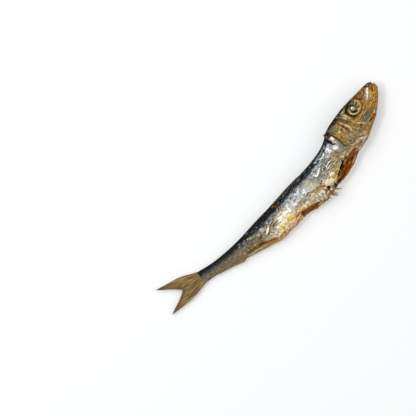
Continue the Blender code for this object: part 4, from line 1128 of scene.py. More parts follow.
    line("amber", 0.9, 0.26, (65.6, -5.0), (64.4, -4.8), (63.2, -4.9)),
    line("amber", 0.8, 0.3, (65.4, -5.6), (61.0, -5.4), (55.0, -5.1), rise=0.25),
    blot("amber", 0.6, (64.2, -5.2), (1.1, 0.25)),
    blot("sand", 0.7, (60.4, -5.0), (2.2, 0.3), 2.0),
    blot("rust", 0.5, (56.8, -4.9), (1.6, 0.25)),
    line("rust", 0.95, 0.24, (57.0, -3.9), (55.6, -3.6), (54.3, -3.4)),
    line("orange", 0.9, 0.18, (55.4, -3.0), (54.0, -2.9), (52.6, -3.2)),
    line("olive", 0.5, 0.2, (44.5, 6.9), (48.0, 7.15), (51.0, 7.15), (55.0, 6.95)),
    # pale mottles of the rear flank
    blot("ash", 0.7, (61.6, 2.9), (2.2, 0.45), 6.0),
    blot("ash", 0.7, (65.2, 2.4), (1.8, 0.45), 6.0),
    blot("cream", 0.6, (69.0, 1.0), (1.1, 0.4), -10.0),
    blot("cream", 0.45, (68.2, -2.8), (2.8, 0.9), 14.0),
    line("sand", 0.45, 0.45, (60.0, -5.5), (64.0, -5.8), (67.0, -5.7), (70.5, -5.2)),
    blot("bark", 0.7, (72.0, -2.1), (1.8, 0.4), 4.0),
    blot("cream", 0.6, (69.5, 1.7), (1.0, 0.4), -10.0),
    blot("cream", 0.4, (69.0, 1.6), (0.5, 0.3), -10.0),
    blot("cream", 0.5, (74.2, 1.5), (0.7, 0.3)),
    blot("cream", 0.6, (71.4, 0.9), (0.7, 0.25), 10.0),
    blot("cream", 0.6, (72.8, 1.3), (0.5, 0.2)),
    blot("umber", 0.6, (71.4, -0.7), (1.2, 0.5)),
    blot("cream", 0.6, (70.2, -0.9), (0.6, 0.25)),
    blot("umber", 0.5, (73.6, 0.6), (1.2, 0.3)),
)


def scattered(seed, count, span, heights, tints, length, breadth, rise, lean=0.0):
    """Short marks at random places, lengthwise or leaning: edges of scales and wrinkles."""
    rng = np.random.default_rng(seed)
    marks = []
    for _ in range(count):
        along, height = rng.uniform(*span), rng.uniform(*heights)
        half = rng.uniform(0.4, 1.0) * length / 2
        angle = math.radians(lean) + rng.normal(0.0, 0.33)
        ahead, up = half * math.cos(angle), half * math.sin(angle)
        bow = rng.normal(0.0, 0.16)
        path = (
            (along + ahead, height + up),
            (along - bow * math.sin(angle), height + bow * math.cos(angle)),
            (along - ahead, height - up),
        )
        number = rng.integers(len(tints))
        strength = rng.uniform(0.35, 0.9)
        lift = rise * rng.uniform(0.4, 1.0) * (1.0 if tints[number] in PALE else -1.0)
        half_breadth = breadth * rng.uniform(0.6, 1.3)
        marks.append(line(tints[number], strength, half_breadth, *path, rise=lift))
    return tuple(marks)


# The tints whose flecks stand out of the skin; the others are sunk in it
PALE = ("frost", "silver", "cream", "ivory", "straw", "rose", "gold", "lilac", "sand")
# the near-white flecks, and the silver ones on the flanks, are painted glints on scale edges and
# wrinkles
FLECKS = (
    *scattered(501, 170, (28.0, 66.0), (-1.0, 3.6), ("silver", "frost", "steel", "ash", "umber"),
               1.1, 0.14, 0.06),
    *scattered(506, 70, (29.0, 42.0), (-0.4, 3.4),
               ("dark_moss", "steel", "umber", "silver", "slate"), 1.8, 0.15, 0.07),
    *scattered(502, 110, (27.0, 56.0), (-6.4, -0.8),
               ("ivory", "straw", "umber", "copper", "umber"), 1.1, 0.15, 0.08),
    *scattered(507, 80, (41.6, 49.0), (-6.4, -2.0), ("ivory", "ivory", "umber", "sand", "umber"),
               0.8, 0.16, 0.08, 60.0),
    *scattered(505, 150, (55.0, 66.0), (-4.6, 1.7),
               ("ivory", "saffron", "ivory", "amber", "frost", "sand"), 0.6, 0.16, 0.05),
    *scattered(515, 150, (55.6, 64.6), (-4.0, -0.9),
               ("saffron", "orange", "ivory", "gold", "frost"), 0.34, 0.19, 0.05),
    *scattered(503, 110, (64.0, 80.0), (-2.0, 2.4),
               ("cream", "ash", "umber", "dark_moss", "umber"), 0.8, 0.16, 0.05),
    *scattered(509, 50, (54.0, 80.0), (-5.8, -2.6), ("sand", "sand", "umber", "copper", "rust"),
               0.9, 0.14, 0.05),
    *scattered(510, 60, (36.0, 60.0), (4.2, 6.4),
               ("slate", "slate", "bark", "steel", "dark_moss"), 1.6, 0.15, 0.04),
    *scattered(504, 60, (27.0, 60.0), (3.0, 5.8), ("slate", "steel", "ink", "steel", "ink"),
               1.4, 0.14, 0.05),
    *scattered(508, 90, (50.0, 79.0), (1.6, 3.6), ("slate", "ink", "soot", "steel", "ash"),
               1.0, 0.15, 0.04),
)
# Round the back and the keel, on both flanks
RIDGE_FLECKS = (
    *scattered(521, 130, (27.0, 92.0), (6.6, 9.5), ("slate", "ink", "steel", "soot", "bark"),
               1.3, 0.15, 0.05),
    *scattered(522, 220, (20.0, 92.0), (-10.5, -6.6), ("cream", "umber", "sand", "copper", "olive"),
               1.2, 0.15, 0.06),
    *scattered(523, 60, (3.0, 26.0), (7.0, 10.0), ("bark", "soot", "olive", "umber"),
               1.0, 0.15, 0.05),
    *scattered(524, 90, (2.0, 24.0), (-9.5, -6.8), ("tan", "copper", "sand", "umber"),
               1.1, 0.14, 0.05),
)
HEAD_FLECKS = (
    *scattered(511, 90, (9.0, 25.0), (-6.0, 0.5), ("cream", "umber", "moss", "copper", "straw"),
               1.0, 0.13, 0.05),
    *scattered(512, 110, (15.5, 25.0), (-3.0, 6.6), ("sand", "umber", "bark", "rust", "cream"),
               0.7, 0.17, 0.05, 50.0),
    *scattered(516, 80, (20.2, 24.6), (-2.5, 5.5), ("brass", "moss", "umber", "gold", "bark"),
               1.5, 0.13, 0.05, 80.0),
    *scattered(514, 50, (12.0, 25.0), (5.6, 7.6), ("olive", "soot", "ash", "soot", "umber"),
               0.9, 0.14, 0.08),
    *scattered(513, 60, (2.0, 9.0), (-4.0, 3.4), ("tan", "umber", "rust", "bark", "gold"),
               0.8, 0.12, 0.04),
)


def every_mark(head, trunk, edges, shown):
    """Each mark in the order of drawing, with how much of it each point of the skin may take."""
    groups = ((HEAD_FLECKS, head), (FLECKS, trunk), (RIDGE_FLECKS, edges), (HEAD_MARKS, 1.0),
              (TRUNK_MARKS, shown))
    for marks, share in groups:
        for mark in marks:
            yield mark, share


# ---------------------------------------------------------------- colour


# The flesh's upper edge and the dark back's lower edge: points of along and height
FLESH_TOP = (
    (22.0, -3.6), (26.0, -3.6), (28.0, -4.0), (30.0, -4.3), (32.0, -4.4), (33.5, -4.6),
    (35.0, -5.1), (36.5, -5.8), (38.0, -6.4), (60.0, -6.4),
)
BAND_EDGE = (
    (20.0, 6.2), (26.0, 5.7), (30.0, 5.2), (33.0, 4.8), (36.0, 4.4), (40.0, 4.4), (45.0, 4.3),
    (50.0, 4.5), (55.0, 4.4), (60.0, 3.6), (66.0, 3.2), (70.0, 2.8), (76.0, 2.5), (86.0, 1.5),
    (98.0, 1.2),
)
BETWEEN_TEARS = 45.0


def tint(colours, *stains):
    """Lays stains over the colours so far, in place and one after the other.

    A stain is its colour, as a tint's name or as three linear numbers, and how much of it
    shows at each point, from 0 to 1.
    """
    for colour, amount in stains:
        over = np.array(linear(TINTS[colour])[:3] if isinstance(colour, str) else tuple(colour))
        colours += (over - colours) * np.clip(amount, 0.0, 1.0)[..., None]


def stained(shape, *stains):
    """The colours of points that have only these stains, the first of which covers them."""
    colours = np.zeros(shape + (3,))
    tint(colours, *stains)
    return colours


def paint_trunk(colours, along, height, plane, look):
    """The trunk's ground: silver flanks, a golden belly, an olive tail stalk and a dark back."""
    cloud = rough(51, along / 4.5, height / 2.0, plane)
    streak = rough(54, along / 2.4, height / 0.6, plane + 3.0)
    crease = rough(56, along / 1.3, height / 0.36, plane + 4.0, 2)
    speck = rough(57, along / 0.8, height / 0.6, plane + 5.0, 2)
    # painted shade: a darker olive band along the middle of the front flank
    shaded = smoothstep(44.0, 41.0, along) * smoothstep(28.0, 31.0, along)
    shaded = shaded * ridge(height - 0.2, 1.8)
    bright = smoothstep(47.0, 51.0, along) * smoothstep(60.0, 56.0, along)
    bright = bright * ridge(height - 1.8, 2.0)
    belly = smoothstep(0.4, -2.2, height + cloud)
    stalk = smoothstep(63.0, 69.0, along + 2.0 * cloud)
    # the near-white streaks and specks are painted glints, the rear flank's bright silver band is
    # whitened by a painted sheen, and the dark crease lines are painted shade of wrinkles
    tint(
        colours,
        (look.silver, 1.0),
        ("ash", smoothstep(-0.2, 0.5, streak) * (0.8 - 0.35 * smoothstep(46.0, 50.0, along))),
        ("cream", smoothstep(0.0, 0.6, cloud) * 0.35),
        ("olive", shaded * 0.6),
        ("silver", bright * 0.95),
        ("frost", bright * 0.3),
        ("frost", smoothstep(0.1, 0.5, -streak) * 0.5),
        ("umber", smoothstep(0.1, 0.45, crease) * 0.5),
        ("olive", belly * smoothstep(38.0, 34.0, along) * 0.7),
        ("sand", smoothstep(-0.4, -2.8, height + cloud) * 0.8),
        ("straw", belly * smoothstep(-0.1, 0.4, streak) * 0.6),
        ("umber", belly * smoothstep(0.05, 0.45, crease) * 0.6),
        ("copper", belly * smoothstep(0.1, 0.5, speck) * 0.45),
        ("olive", stalk * 0.8),
        ("moss", stalk * smoothstep(-2.4, -0.6, height) * 0.4),
        ("bark", smoothstep(69.0, 76.0, along) * 0.4),
        ("ash", stalk * smoothstep(-0.1, 0.5, streak) * 0.4),
        ("umber", stalk * smoothstep(0.05, 0.4, crease) * 0.45),
        ("sand", stalk * smoothstep(0.15, 0.5, -speck) * 0.3),
        ("tan", stalk * smoothstep(-1.6, -2.8, height) * 0.3),
        ("frost", smoothstep(0.2, 0.5, speck) * 0.6 * (1.0 - belly) * (1.0 - 0.85 * stalk)),
        ("umber", smoothstep(0.15, 0.5, -speck) * 0.6 * (1.0 - 0.6 * stalk)),
    )


def paint_back(colours, along, height, plane, look):
    """The near-black blue back, with its lower edge blurred in scales, and painted paler blue
    glints.
    """
    gap = height - curve_through(BAND_EDGE, along)
    rear = smoothstep(52.0, 62.0, along)
    wander = rough(61, along / 1.4, height / 0.7, plane)
    glint = rough(64, along / 1.8, height / 0.45, plane + 2.0)
    streak = rough(67, along / 2.6, height / 0.3, plane + 4.0)
    dark = smoothstep(-0.9 - 0.7 * rear, 0.5, gap + 0.6 * wander)
    front = smoothstep(42.0, 32.0, along) * smoothstep(26.5, 28.5, along)
    rim = smoothstep(0.25, 0.6, curve_through(BACK_LINE, along) - height)
    fading = 0.35 + 0.5 * smoothstep(44.0, 34.0, along)
    tint(
        colours,
        ("steel", smoothstep(-2.6, 0.2, gap + 1.2 * wander) * (0.85 - 0.35 * rear)),
        ("slate", smoothstep(-1.6 - rear, 0.3, gap + wander) * 0.8),
        (look.back, dark * 0.97),
        # painted highlights: paler blue glints on the dark band, and lighter slate with steel and
        # silver streaks on its front part below the top edge
        ("slate", dark * smoothstep(0.05, 0.5, glint) * fading),
        ("dark_moss", dark * smoothstep(0.1, 0.5, streak) * 0.5),
        ("slate", dark * front * rim * 0.4),
        ("steel", dark * front * rim * smoothstep(0.0, 0.5, glint) * 0.5),
        ("silver", dark * front * rim * smoothstep(0.3, 0.7, streak) * 0.4),
    )


def paint_head(colours, along, height, plane, look):
    """The head's ground: brown-gold skin on bone, tan below, olive above and a black crown."""
    head = head_share(along, height, 0.15, 0.25)
    cloud = rough(71, along / 2.2, height / 1.6, plane)
    streak = rough(74, along / 0.9, height / 1.3, plane)
    snout = smoothstep(9.0, 6.0, along)
    gap = curve_through(BACK_LINE, along) - height
    crown = smoothstep(1.5, 0.5, gap + 0.4 * cloud) * smoothstep(9.5, 13.5, along)
    brow = snout * smoothstep(0.6, 0.3, gap + 0.15 * cloud)
    tint(
        colours,
        (look.head, head),
        ("moss", head * smoothstep(-0.1, 0.5, cloud) * 0.45),
        ("sand", head * smoothstep(0.15, 0.6, streak) * 0.5),
        ("rust", head * smoothstep(0.1, 0.6, -streak) * 0.35),
        ("tan", head * smoothstep(-3.4, -5.4, height) * 0.7),
        ("tan", head * snout * 0.6),
        ("dark_moss", head * smoothstep(2.6, 1.2, gap) * smoothstep(12.0, 16.0, along) * 0.6),
        (look.back, head * crown),
        ("soot", head * brow * (0.95 - 0.6 * smoothstep(-0.1, -0.8, gap))),
    )


def paint_flesh(colours, along, height, plane, shown, look):
    """The bared flesh: dried brown muscle in bundles along the fish, with a tan lower edge.

    Each tear gets narrower towards the keel, and still more so beyond it. What comes back is
    how much of each point is flesh.
    """
    keel = height + curve_through(BELLY_LINE, along)
    beyond = np.maximum(-keel, 0.0)
    ragged = (0.35 + 0.5 * beyond) * rough(17, along / 1.3, height / 1.3, 0.0)
    in_front = along < BETWEEN_TEARS
    middle_one, middle_two = sum(TEAR_ONE) / 2, sum(TEAR_TWO) / 2
    narrowed = (along - np.where(in_front, middle_one, TEAR_TWO[1])) * 0.16
    narrowed *= np.maximum(-6.0 - height, 0.0)
    narrowed += (along - np.where(in_front, middle_one, middle_two)) * 0.7 * beyond
    opened = torn(along + narrowed + ragged, height + ragged, 0.2) * shown
    opened *= smoothstep(-0.75, -0.45, keel + 1.2 * rough(18, along / 2.4, 0.0, 0.0))
    lip = opened * smoothstep(-0.35, 0.1, height - curve_through(FLESH_TOP, along) + 0.5 * ragged)
    front = smoothstep(40.0, 38.0, along)
    bundle = rough(81, along / 2.2, height / 0.42, plane)
    clot = rough(84, along / 1.2, height / 0.8, plane)
    tint(
        colours,
        (look.flesh, opened),
        ("russet", opened * smoothstep(-0.1, 0.3, bundle) * 0.9),
        ("amber", opened * smoothstep(0.05, 0.45, -bundle) * 0.65),
        ("umber", opened * smoothstep(0.2, 0.6, clot) * 0.6),
        ("copper", opened * smoothstep(0.4, 0.0, keel + 0.2 * bundle) * 0.8),
        ("sand", lip * front),
        ("amber", lip * front * smoothstep(0.0, 0.4, -clot) * 0.7),
        ("umber", lip * front * smoothstep(-0.1, 0.3, clot) * 0.9),
    )
    return opened


def paint_skin(along, height, turn, look):
    """Colour, shine and wetness at each point of the skin, whose height is carried on.

    Grounds come first, then the drawn marks, each looked up at a point that noise has moved
    a little, so that no edge is clean. Last, the colour is darkened in the hollows of the fine
    relief and lightened on its ridges: painted shade and painted highlight.
    """
    shown = smoothstep(-0.05, 0.05, np.cos(turn))
    plane = noise_plane(shown)
    colours = np.zeros(along.shape + (3,))
    paint_trunk(colours, along, height, plane, look)
    paint_back(colours, along, height, plane, look)
    paint_head(colours, along, height, plane, look)
    opened = paint_flesh(colours, along, height, plane, shown, look)

    drift = 0.22 * rough(91, along / 1.1, height / 0.9, plane, 3)
    sway = 0.22 * rough(94, along / 1.1, height / 0.9, plane + 9.0, 3)
    fleck = 1.0 + 0.35 * rough(97, along / 0.4, height / 0.4, plane, 2)
    head = head_share(along, height, 0.15, 0.25)
    bare = 1.0 - opened
    for mark, share in every_mark(head, (1.0 - head) * bare, bare, shown):
        near = mark.colour_share(along + drift, height + sway) * share * mark.strength
        tint(colours, (mark.colour, near * fleck))

    # the shade below adds random grain to the tone, and painted shade and highlight: darker in the
    # hollows of the fine relief and lighter on its ridges
    grain = rough(98, along / 0.85, height / 0.7, plane, 3)
    fine = fine_relief(along, height, shown)
    calm = 0.6 * patch(along, height, (45.0, 1.0), (3.0, 2.4)) * shown
    calm += 0.3 * smoothstep(64.0, 70.0, along)
    shade = 1.0 + (1.0 - calm) * (0.95 * grain + 4.5 * np.clip(fine, -0.2, 0.1))
    colours *= np.clip(shade, 0.25, 1.7)[..., None]
    colours = np.clip(colours, 0.002, 0.95)
    luminance = colours @ np.array((0.21, 0.72, 0.07))
    greyness = 1.0 - (colours.max(-1) - colours.min(-1)) / (colours.max(-1) + 1e-6)
    shine = np.clip(greyness, 0, 1) * (1.0 - 0.6 * head) * (1.0 - opened)
    shine *= smoothstep(0.02, 0.3, luminance)
    wet = 0.35 + 0.3 * head + 0.25 * shine + 0.25 * opened
    return colours, shine, wet


# ---------------------------------------------------------------- meshes


def add_mesh(name, points, faces, colours, **values):
    """A smooth mesh object in metres, with its faces outwards and colours and values by point.

    Faces are arrays of three or four corners. The volume inside the faces tells which way
    round they are, and they are turned where it is negative.
    """
    volume = sum(signed_volume(points, part) for part in faces)
    if volume < 0:
        faces = [part[:, ::-1] for part in faces]
    mesh = bpy.data.meshes.new(name)
    mesh.vertices.add(len(points))
    mesh.vertices.foreach_set("co", points.astype(np.float32).ravel())
    corners = np.concatenate([part.ravel() for part in faces])
    sizes = np.concatenate([np.full(len(part), part.shape[1]) for part in faces])
    mesh.loops.add(len(corners))
    mesh.loops.foreach_set("vertex_index", corners.astype(np.int32))
    mesh.polygons.add(len(sizes))
    mesh.polygons.foreach_set("loop_start", (np.cumsum(sizes) - sizes).astype(np.int32))
    mesh.polygons.foreach_set("use_smooth", np.ones(len(sizes), bool))
    mesh.update(calc_edges=True)
    layer = mesh.attributes.new("skin_colour", "FLOAT_COLOR", "POINT")
    rgba = np.concatenate([colours, np.ones((len(colours), 1))], axis=1)
    layer.data.foreach_set("color", rgba.astype(np.float32).ravel())
    for key, value in values.items():
        layer = mesh.attributes.new(key, "FLOAT", "POINT")
        layer.data.foreach_set("value", np.asarray(value, np.float32).ravel())
    made = bpy.data.objects.new(name, mesh)
    bpy.context.scene.collection.objects.link(made)
    return made


def signed_volume(points, faces):
    """Six times the volume between the faces and the origin, positive where they face outwards."""
    total = 0.0
    for k in range(1, faces.shape[1] - 1):
        a, b, c = points[faces[:, 0]], points[faces[:, k]], points[faces[:, k + 1]]
        total += np.einsum("ij,ij->", a, np.cross(b, c))
    return total


def ring_faces(rings, count):
    """Quads between rings of count points each, and fans to a point at each of the two ends."""
    r, k = np.meshgrid(np.arange(rings - 1), np.arange(count), indexing="ij")
    a, b = (r * count + k).ravel(), (r * count + (k + 1) % count).ravel()
    quads = np.stack([a, a + count, b + count, b], axis=1)
    k = np.arange(count)
    base = (rings - 1) * count
    front = np.stack([np.full(count, rings * count), k, (k + 1) % count], axis=1)
    rear = np.stack([np.full(count, rings * count + 1), base + (k + 1) % count, base + k], axis=1)
    return [quads, np.concatenate([front, rear])]


def sheet_faces(rows, columns):
    """Faces of a thin closed sheet: an upper grid, then a lower one, joined round the border."""
    r, k = np.meshgrid(np.arange(rows - 1), np.arange(columns - 1), indexing="ij")
    a = (r * columns + k).ravel()
    upper = np.stack([a, a + columns, a + columns + 1, a + 1], axis=1)
    n = rows * columns
    lower = upper[:, ::-1] + n
    rim = [row * columns for row in range(rows)]
    rim += [(rows - 1) * columns + k for k in range(1, columns)]
    rim += [row * columns + columns - 1 for row in range(rows - 2, -1, -1)]
    rim += list(range(columns - 2, 0, -1))
    rim = np.array(rim)
    after = np.roll(rim, -1)
    border = np.stack([after, rim, rim + n, after + n], axis=1)
    return [np.concatenate([upper, lower, border])]


def add_sheet(name, along, height, side, thickness, colours, **values):
    """A thin closed sheet in fish coordinates, thickened to both sides of a grid of points."""
    upper = place(along, height, side + thickness / 2).reshape(-1, 3)
    lower = place(along, height, side - thickness / 2).reshape(-1, 3)
    both = np.concatenate([colours.reshape(-1, 3)] * 2)
    values = {key: np.full(len(both), value) for key, value in values.items()}
    return add_mesh(name, np.concatenate([upper, lower]), sheet_faces(*along.shape), both, **values)


def add_closed(name, parts, wet):
    """One mesh of closed forms with no silver, from each one's points, ring faces and colours."""
    starts = np.cumsum([0] + [len(points) for points, _, _ in parts])
    faces = [np.concatenate([part[1][kind] + start for part, start in zip(parts, starts)])
             for kind in (0, 1)]
    points = np.concatenate([part[0] for part in parts])
    wet = np.full(len(points), wet)
    colours = np.concatenate([part[2] for part in parts])
    return add_mesh(name, points, faces, colours, shine=0.0 * wet, wet=wet)


def ball_points(at, radii, rings, count, dented=0.0, seed=0):
    """An egg in fish coordinates as rings from its under side to its upper, then its two poles."""
    slopes = np.linspace(-math.pi / 2, math.pi / 2, rings + 2)[1:-1]
    turns = np.linspace(0.0, 2 * math.pi, count, endpoint=False)
    slope, turn = np.meshgrid(slopes, turns, indexing="ij")
    x, y, z = np.cos(slope) * np.cos(turn), np.cos(slope) * np.sin(turn), np.sin(slope)
    x, y, z = (np.concatenate([v.ravel(), pole]) for v, pole in
               ((x, [0, 0]), (y, [0, 0]), (z, [-1, 1])))
    swell = 1.0 + dented * rough(seed, 1.4 * x, 1.4 * y, 1.4 * z)
    return tuple(at[k] + radii[k] * v * swell for k, v in enumerate((x, y, z)))


def finish_piece(piece, material):
    """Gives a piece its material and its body."""
    piece.data.materials.append(material)
    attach(piece, "root")


# ---------------------------------------------------------------- materials


def add_node(tree, kind, inputs=None, **settings):
    """Adds a node. An input is a number, a colour or the socket that it is linked from."""
    made = tree.nodes.new(kind)
    for key, value in settings.items():
        setattr(made, key, value)
    for key, value in (inputs or {}).items():
        if isinstance(value, bpy.types.NodeSocket):
            tree.links.new(value, made.inputs[key])
        else:
            made.inputs[key].default_value = value
    return made


def new_material(name):
    """An empty material, its tree and its shader, which is linked to the output."""
    material = bpy.data.materials.new(name)
    material.use_nodes = True
    tree = material.node_tree
    return material, tree, tree.nodes["Principled BSDF"]


def dried_skin(name, metal, dull, bump, coat, gloss):
    """Dried and salted fish skin: guanine silver under a thin dry film, with oil in its hollows.

    The silver mirrors its surroundings softly, so it is partly metallic, and the stains are
    not. The film is half glossy and uneven, and its grain, of about a quarter millimetre, is
    finer than the mesh and comes from bump.
    """
    material, tree, shader = new_material(name)
    colour = add_node(tree, "ShaderNodeAttribute", attribute_name="skin_colour").outputs["Color"]
    shine = add_node(tree, "ShaderNodeAttribute", attribute_name="shine").outputs["Fac"]
    wet = add_node(tree, "ShaderNodeAttribute", attribute_name="wet").outputs["Fac"]
    place_on = add_node(tree, "ShaderNodeTexCoord").outputs["Object"]
    grain = add_node(tree, "ShaderNodeTexNoise", {
        "Vector": place_on, "Scale": FILM_GRAINS / MM, "Detail": 4.0, "Roughness": 0.6,
    }).outputs["Fac"]
    blotch = add_node(tree, "ShaderNodeTexNoise", {
        "Vector": place_on, "Scale": FILM_BLOTCHES / MM, "Detail": 3.0,
    }).outputs["Fac"]
    shade = add_node(tree, "ShaderNodeMapRange", {
        "Value": grain, "From Min": 0.3, "From Max": 0.7, "To Min": FILM_SHADES[0],
        "To Max": FILM_SHADES[1],
    }).outputs["Result"]
    shaded = add_node(tree, "ShaderNodeVectorMath", {0: colour, 1: shade}, operation="MULTIPLY")
    metallic = add_node(tree, "ShaderNodeMath", {0: shine, 1: metal}, operation="MULTIPLY")
    smooth = add_node(tree, "ShaderNodeMath", {0: wet, 1: -0.3, 2: dull}, operation="MULTIPLY_ADD")
    uneven = add_node(tree, "ShaderNodeMath", {0: blotch, 1: 0.3, 2: smooth.outputs["Value"]},
                      operation="MULTIPLY_ADD")
    film = add_node(tree, "ShaderNodeBump", {
        "Height": grain, "Strength": bump, "Distance": FILM_GRAIN_HEIGHT,
    })
    tree.links.new(shaded.outputs["Vector"], shader.inputs["Base Color"])
    tree.links.new(metallic.outputs["Value"], shader.inputs["Metallic"])
    tree.links.new(uneven.outputs["Value"], shader.inputs["Roughness"])
    tree.links.new(film.outputs["Normal"], shader.inputs["Normal"])
    shader.inputs["Coat Weight"].default_value = coat
    shader.inputs["Coat Roughness"].default_value = COAT_ROUGHNESS
    shader.inputs["Specular IOR Level"].default_value = gloss
    return material


# ---------------------------------------------------------------- pieces


def columns_along():
    """Distances along the body of the skin's rings: bunched where the snout rounds off."""
    count = round(COLUMNS * SNOUT_ROUNDING / BODY_LENGTH * 1.6)
    rounded = SNOUT_ROUNDING * (1.0 - np.cos(np.linspace(0.12, math.pi / 2, count)))
    rest = np.linspace(SNOUT_ROUNDING, BODY_LENGTH, COLUMNS - count + 1)[1:]
    return np.concatenate([rounded, rest])


def turns_round():
    """Turns of a ring's points, in radians: the shown flank from belly to back, then under it."""
    turns = []
    for start, count in ((0.0, POINTS_SHOWN), (math.pi, POINTS_UNDER)):
        share = np.linspace(-1.0, 1.0, count, endpoint=False)
        warped = FLANK_SHARE * share + (1.0 - FLANK_SHARE) * share**3
        turns.append(start + math.pi / 2 * warped)
    return np.concatenate(turns)


def make_skin(look):
    """The whole skin as one closed loft of rings, with colours for each point."""
    stops, turns = columns_along(), turns_round()
    along, turn = np.meshgrid(stops, turns, indexing="ij")
    moved_along, moved_height, moved_side = skin(along, turn)
    points = place(moved_along, moved_height, moved_side).reshape(-1, 3)
    count = len(turns)
    ends = np.stack([points[:count].mean(axis=0), points[-count:].mean(axis=0)])
    height = carried_on(along, turn, *section(along, turn))
    colours, shine, wet = paint_skin(along, height, turn, look)
    colours = np.concatenate([colours.reshape(-1, 3), colours[0, :1], colours[-1, :1]])
    shine = np.concatenate([shine.ravel(), [0.0, 0.0]])
    wet = np.concatenate([wet.ravel(), [0.4, 0.4]])
    faces = ring_faces(len(stops), count)
    return add_mesh("skin", np.concatenate([points, ends]), faces, colours, shine=shine, wet=wet)


# The eye, in millimetres: its rim lies in the orbit, and it swells out of it and into the head
EYE_MIDDLE = (10.95, 2.42)
EYE_RADII = (3.15, 2.45)
EYE_RIM_DEPTH = 0.55
EYE_SWELL = 0.85
EYE_BACK = 1.2


# What lies on the eye's lens and film, in shares of the eye's radii
EYE_MARKS = (
    blot("soot", 0.95, (-0.45, 0.5), (0.2, 0.12), -20.0),
    blot("soot", 0.95, (-0.4, 0.02), (0.14, 0.14)),
    blot("soot", 0.9, (-0.56, 0.05), (0.1, 0.14)),
    blot("umber", 0.9, (-0.18, 0.2), (0.1, 0.4)),
    blot("copper", 0.7, (0.0, -0.3), (0.2, 0.16)),
    blot("olive", 0.9, (0.14, 0.05), (0.26, 0.3), soft=0.4),
    blot("sand", 0.7, (0.26, 0.06), (0.15, 0.18), soft=0.5),
    # painted glint: the bright spot at the top of the cloudy lens
    blot("silver", 0.95, (0.24, 0.34), (0.17, 0.18), soft=0.4),
    blot("frost", 1.0, (0.25, 0.38), (0.09, 0.1), soft=0.5),
    blot("cream", 0.95, (-0.28, 0.64), (0.14, 0.06), -25.0),
    blot("cream", 0.95, (-0.02, -0.62), (0.22, 0.1), 30.0),
    blot("amber", 0.5, (-0.3, -0.64), (0.2, 0.1), -20.0),
)


def paint_eye(x, y, ring):
    """The eye's colours at points x towards the tail and y towards the back, 1 at its rim.

    A gold ring, thick behind and below, a black pupil, a lens that has gone cloudy, and a
    yellow film over the front of the eye. The ring's lighter side towards the tail, the ivory
    line at its inner edge and the glint on the lens are painted highlights.
    """
    x = x * (1.0 - 0.08 * smoothstep(0.0, 0.5, x))
    radius, turn = np.hypot(x, y), np.arctan2(y, x)
    cloud = rough(201, 3.0 * x, 3.0 * y, 0.0)
    fine = rough(203, 7.0 * x, 7.0 * y, 0.0)
    gold = smoothstep(0.74, 0.79, radius + 0.03 * cloud)
    gold *= 1.0 - 0.9 * smoothstep(0.25, 0.6, -x) * smoothstep(-0.75, -0.25, y)
    # painted highlight: the gold is lighter on the ring's side towards the tail and below, and an
    # ivory line lies at its inner edge on the tail side
    lit = np.clip(np.cos(turn - math.radians(-35.0)), 0.0, 1.0) ** 0.6
    inner = np.clip(np.cos(turn - math.radians(-12.0)), 0.0, 1.0)
    film = patch(x, y, (-0.6, 0.08), (0.42, 0.72), soft=0.25)
    dull_front = smoothstep(0.1, 0.4, -x) * smoothstep(0.6, 0.9, radius) * (1.0 - gold)
    return stained(
        x.shape,
        ("soot", 1.0),
        (ring, gold),
        ("gold", gold * lit * 0.6),
        ("ivory", inner**2 * ridge(radius - 0.79, 0.06) * 0.8),
        ("gold", gold * lit * ridge(radius - 0.88, 0.07) * 0.9),
        ("umber", smoothstep(0.97, 1.0, radius) * 0.6),
        ("umber", gold * smoothstep(0.35, 0.7, y) * 0.6),
        ("bark", dull_front),
        ("brass", film * 0.95),
        ("straw", film * smoothstep(0.0, 0.4, fine) * 0.8),
        ("bark", film * smoothstep(0.0, 0.4, -fine) * 0.8),
        *((mark.colour, mark.colour_share(x, y) * mark.strength) for mark in EYE_MARKS),
        ("ink", smoothstep(0.62, 0.74, y - 0.2 * x) * 0.8),
    )


def make_eyes(ring):
    """The two eyes: shallow domes that follow the smooth head, with a raised ring and a lens."""
    x, y, z = ball_points((0.0, 0.0, 0.0), (1.0, 1.0, 1.0), *EYE_GRID)
    radius = np.hypot(x, y)
    form = 0.14 * ridge(radius - 0.86, 0.08) - 0.12 * ridge(radius - 0.64, 0.12)
    form += 0.07 * ridge(np.hypot(x - 0.2, y - 0.14), 0.25)
    form += 0.04 * rough(205, 3.5 * x, 3.5 * y, 0.0)
    along, height = EYE_MIDDLE[0] + EYE_RADII[0] * x, EYE_MIDDLE[1] + EYE_RADII[1] * y
    _, smooth = section(along, turn_at(along, height))
    front = smooth - EYE_RIM_DEPTH + EYE_SWELL * z + form * smoothstep(0.0, 0.3, z)
    side = np.where(z > 0, front, smooth - EYE_RIM_DEPTH + EYE_BACK * z)
    colours = paint_eye(x, y, ring)
    eyes = []
    for name, sign in (("right_eye", 1.0), ("left_eye", -1.0)):
        points = place(along, height, sign * side)
        eyes.append(add_closed(name, [(points, ring_faces(*EYE_GRID), colours)], wet=1.0))
    return eyes


def fin_colours(across, out, seed, base):
    """Dried fin: brown rays, a paler skin between them and a dark torn margin."""
    cloud = rough(seed, across * 3.0, out * 3.0, 0.0)
    return stained(
        cloud.shape,
        (base, 1.0),
        ("straw", smoothstep(-0.1, 0.5, cloud) * 0.4),
        ("umber", smoothstep(0.0, 0.6, -cloud) * 0.5),
        ("umber", smoothstep(0.75, 1.0, out + 0.2 * cloud) * 0.5),
    )


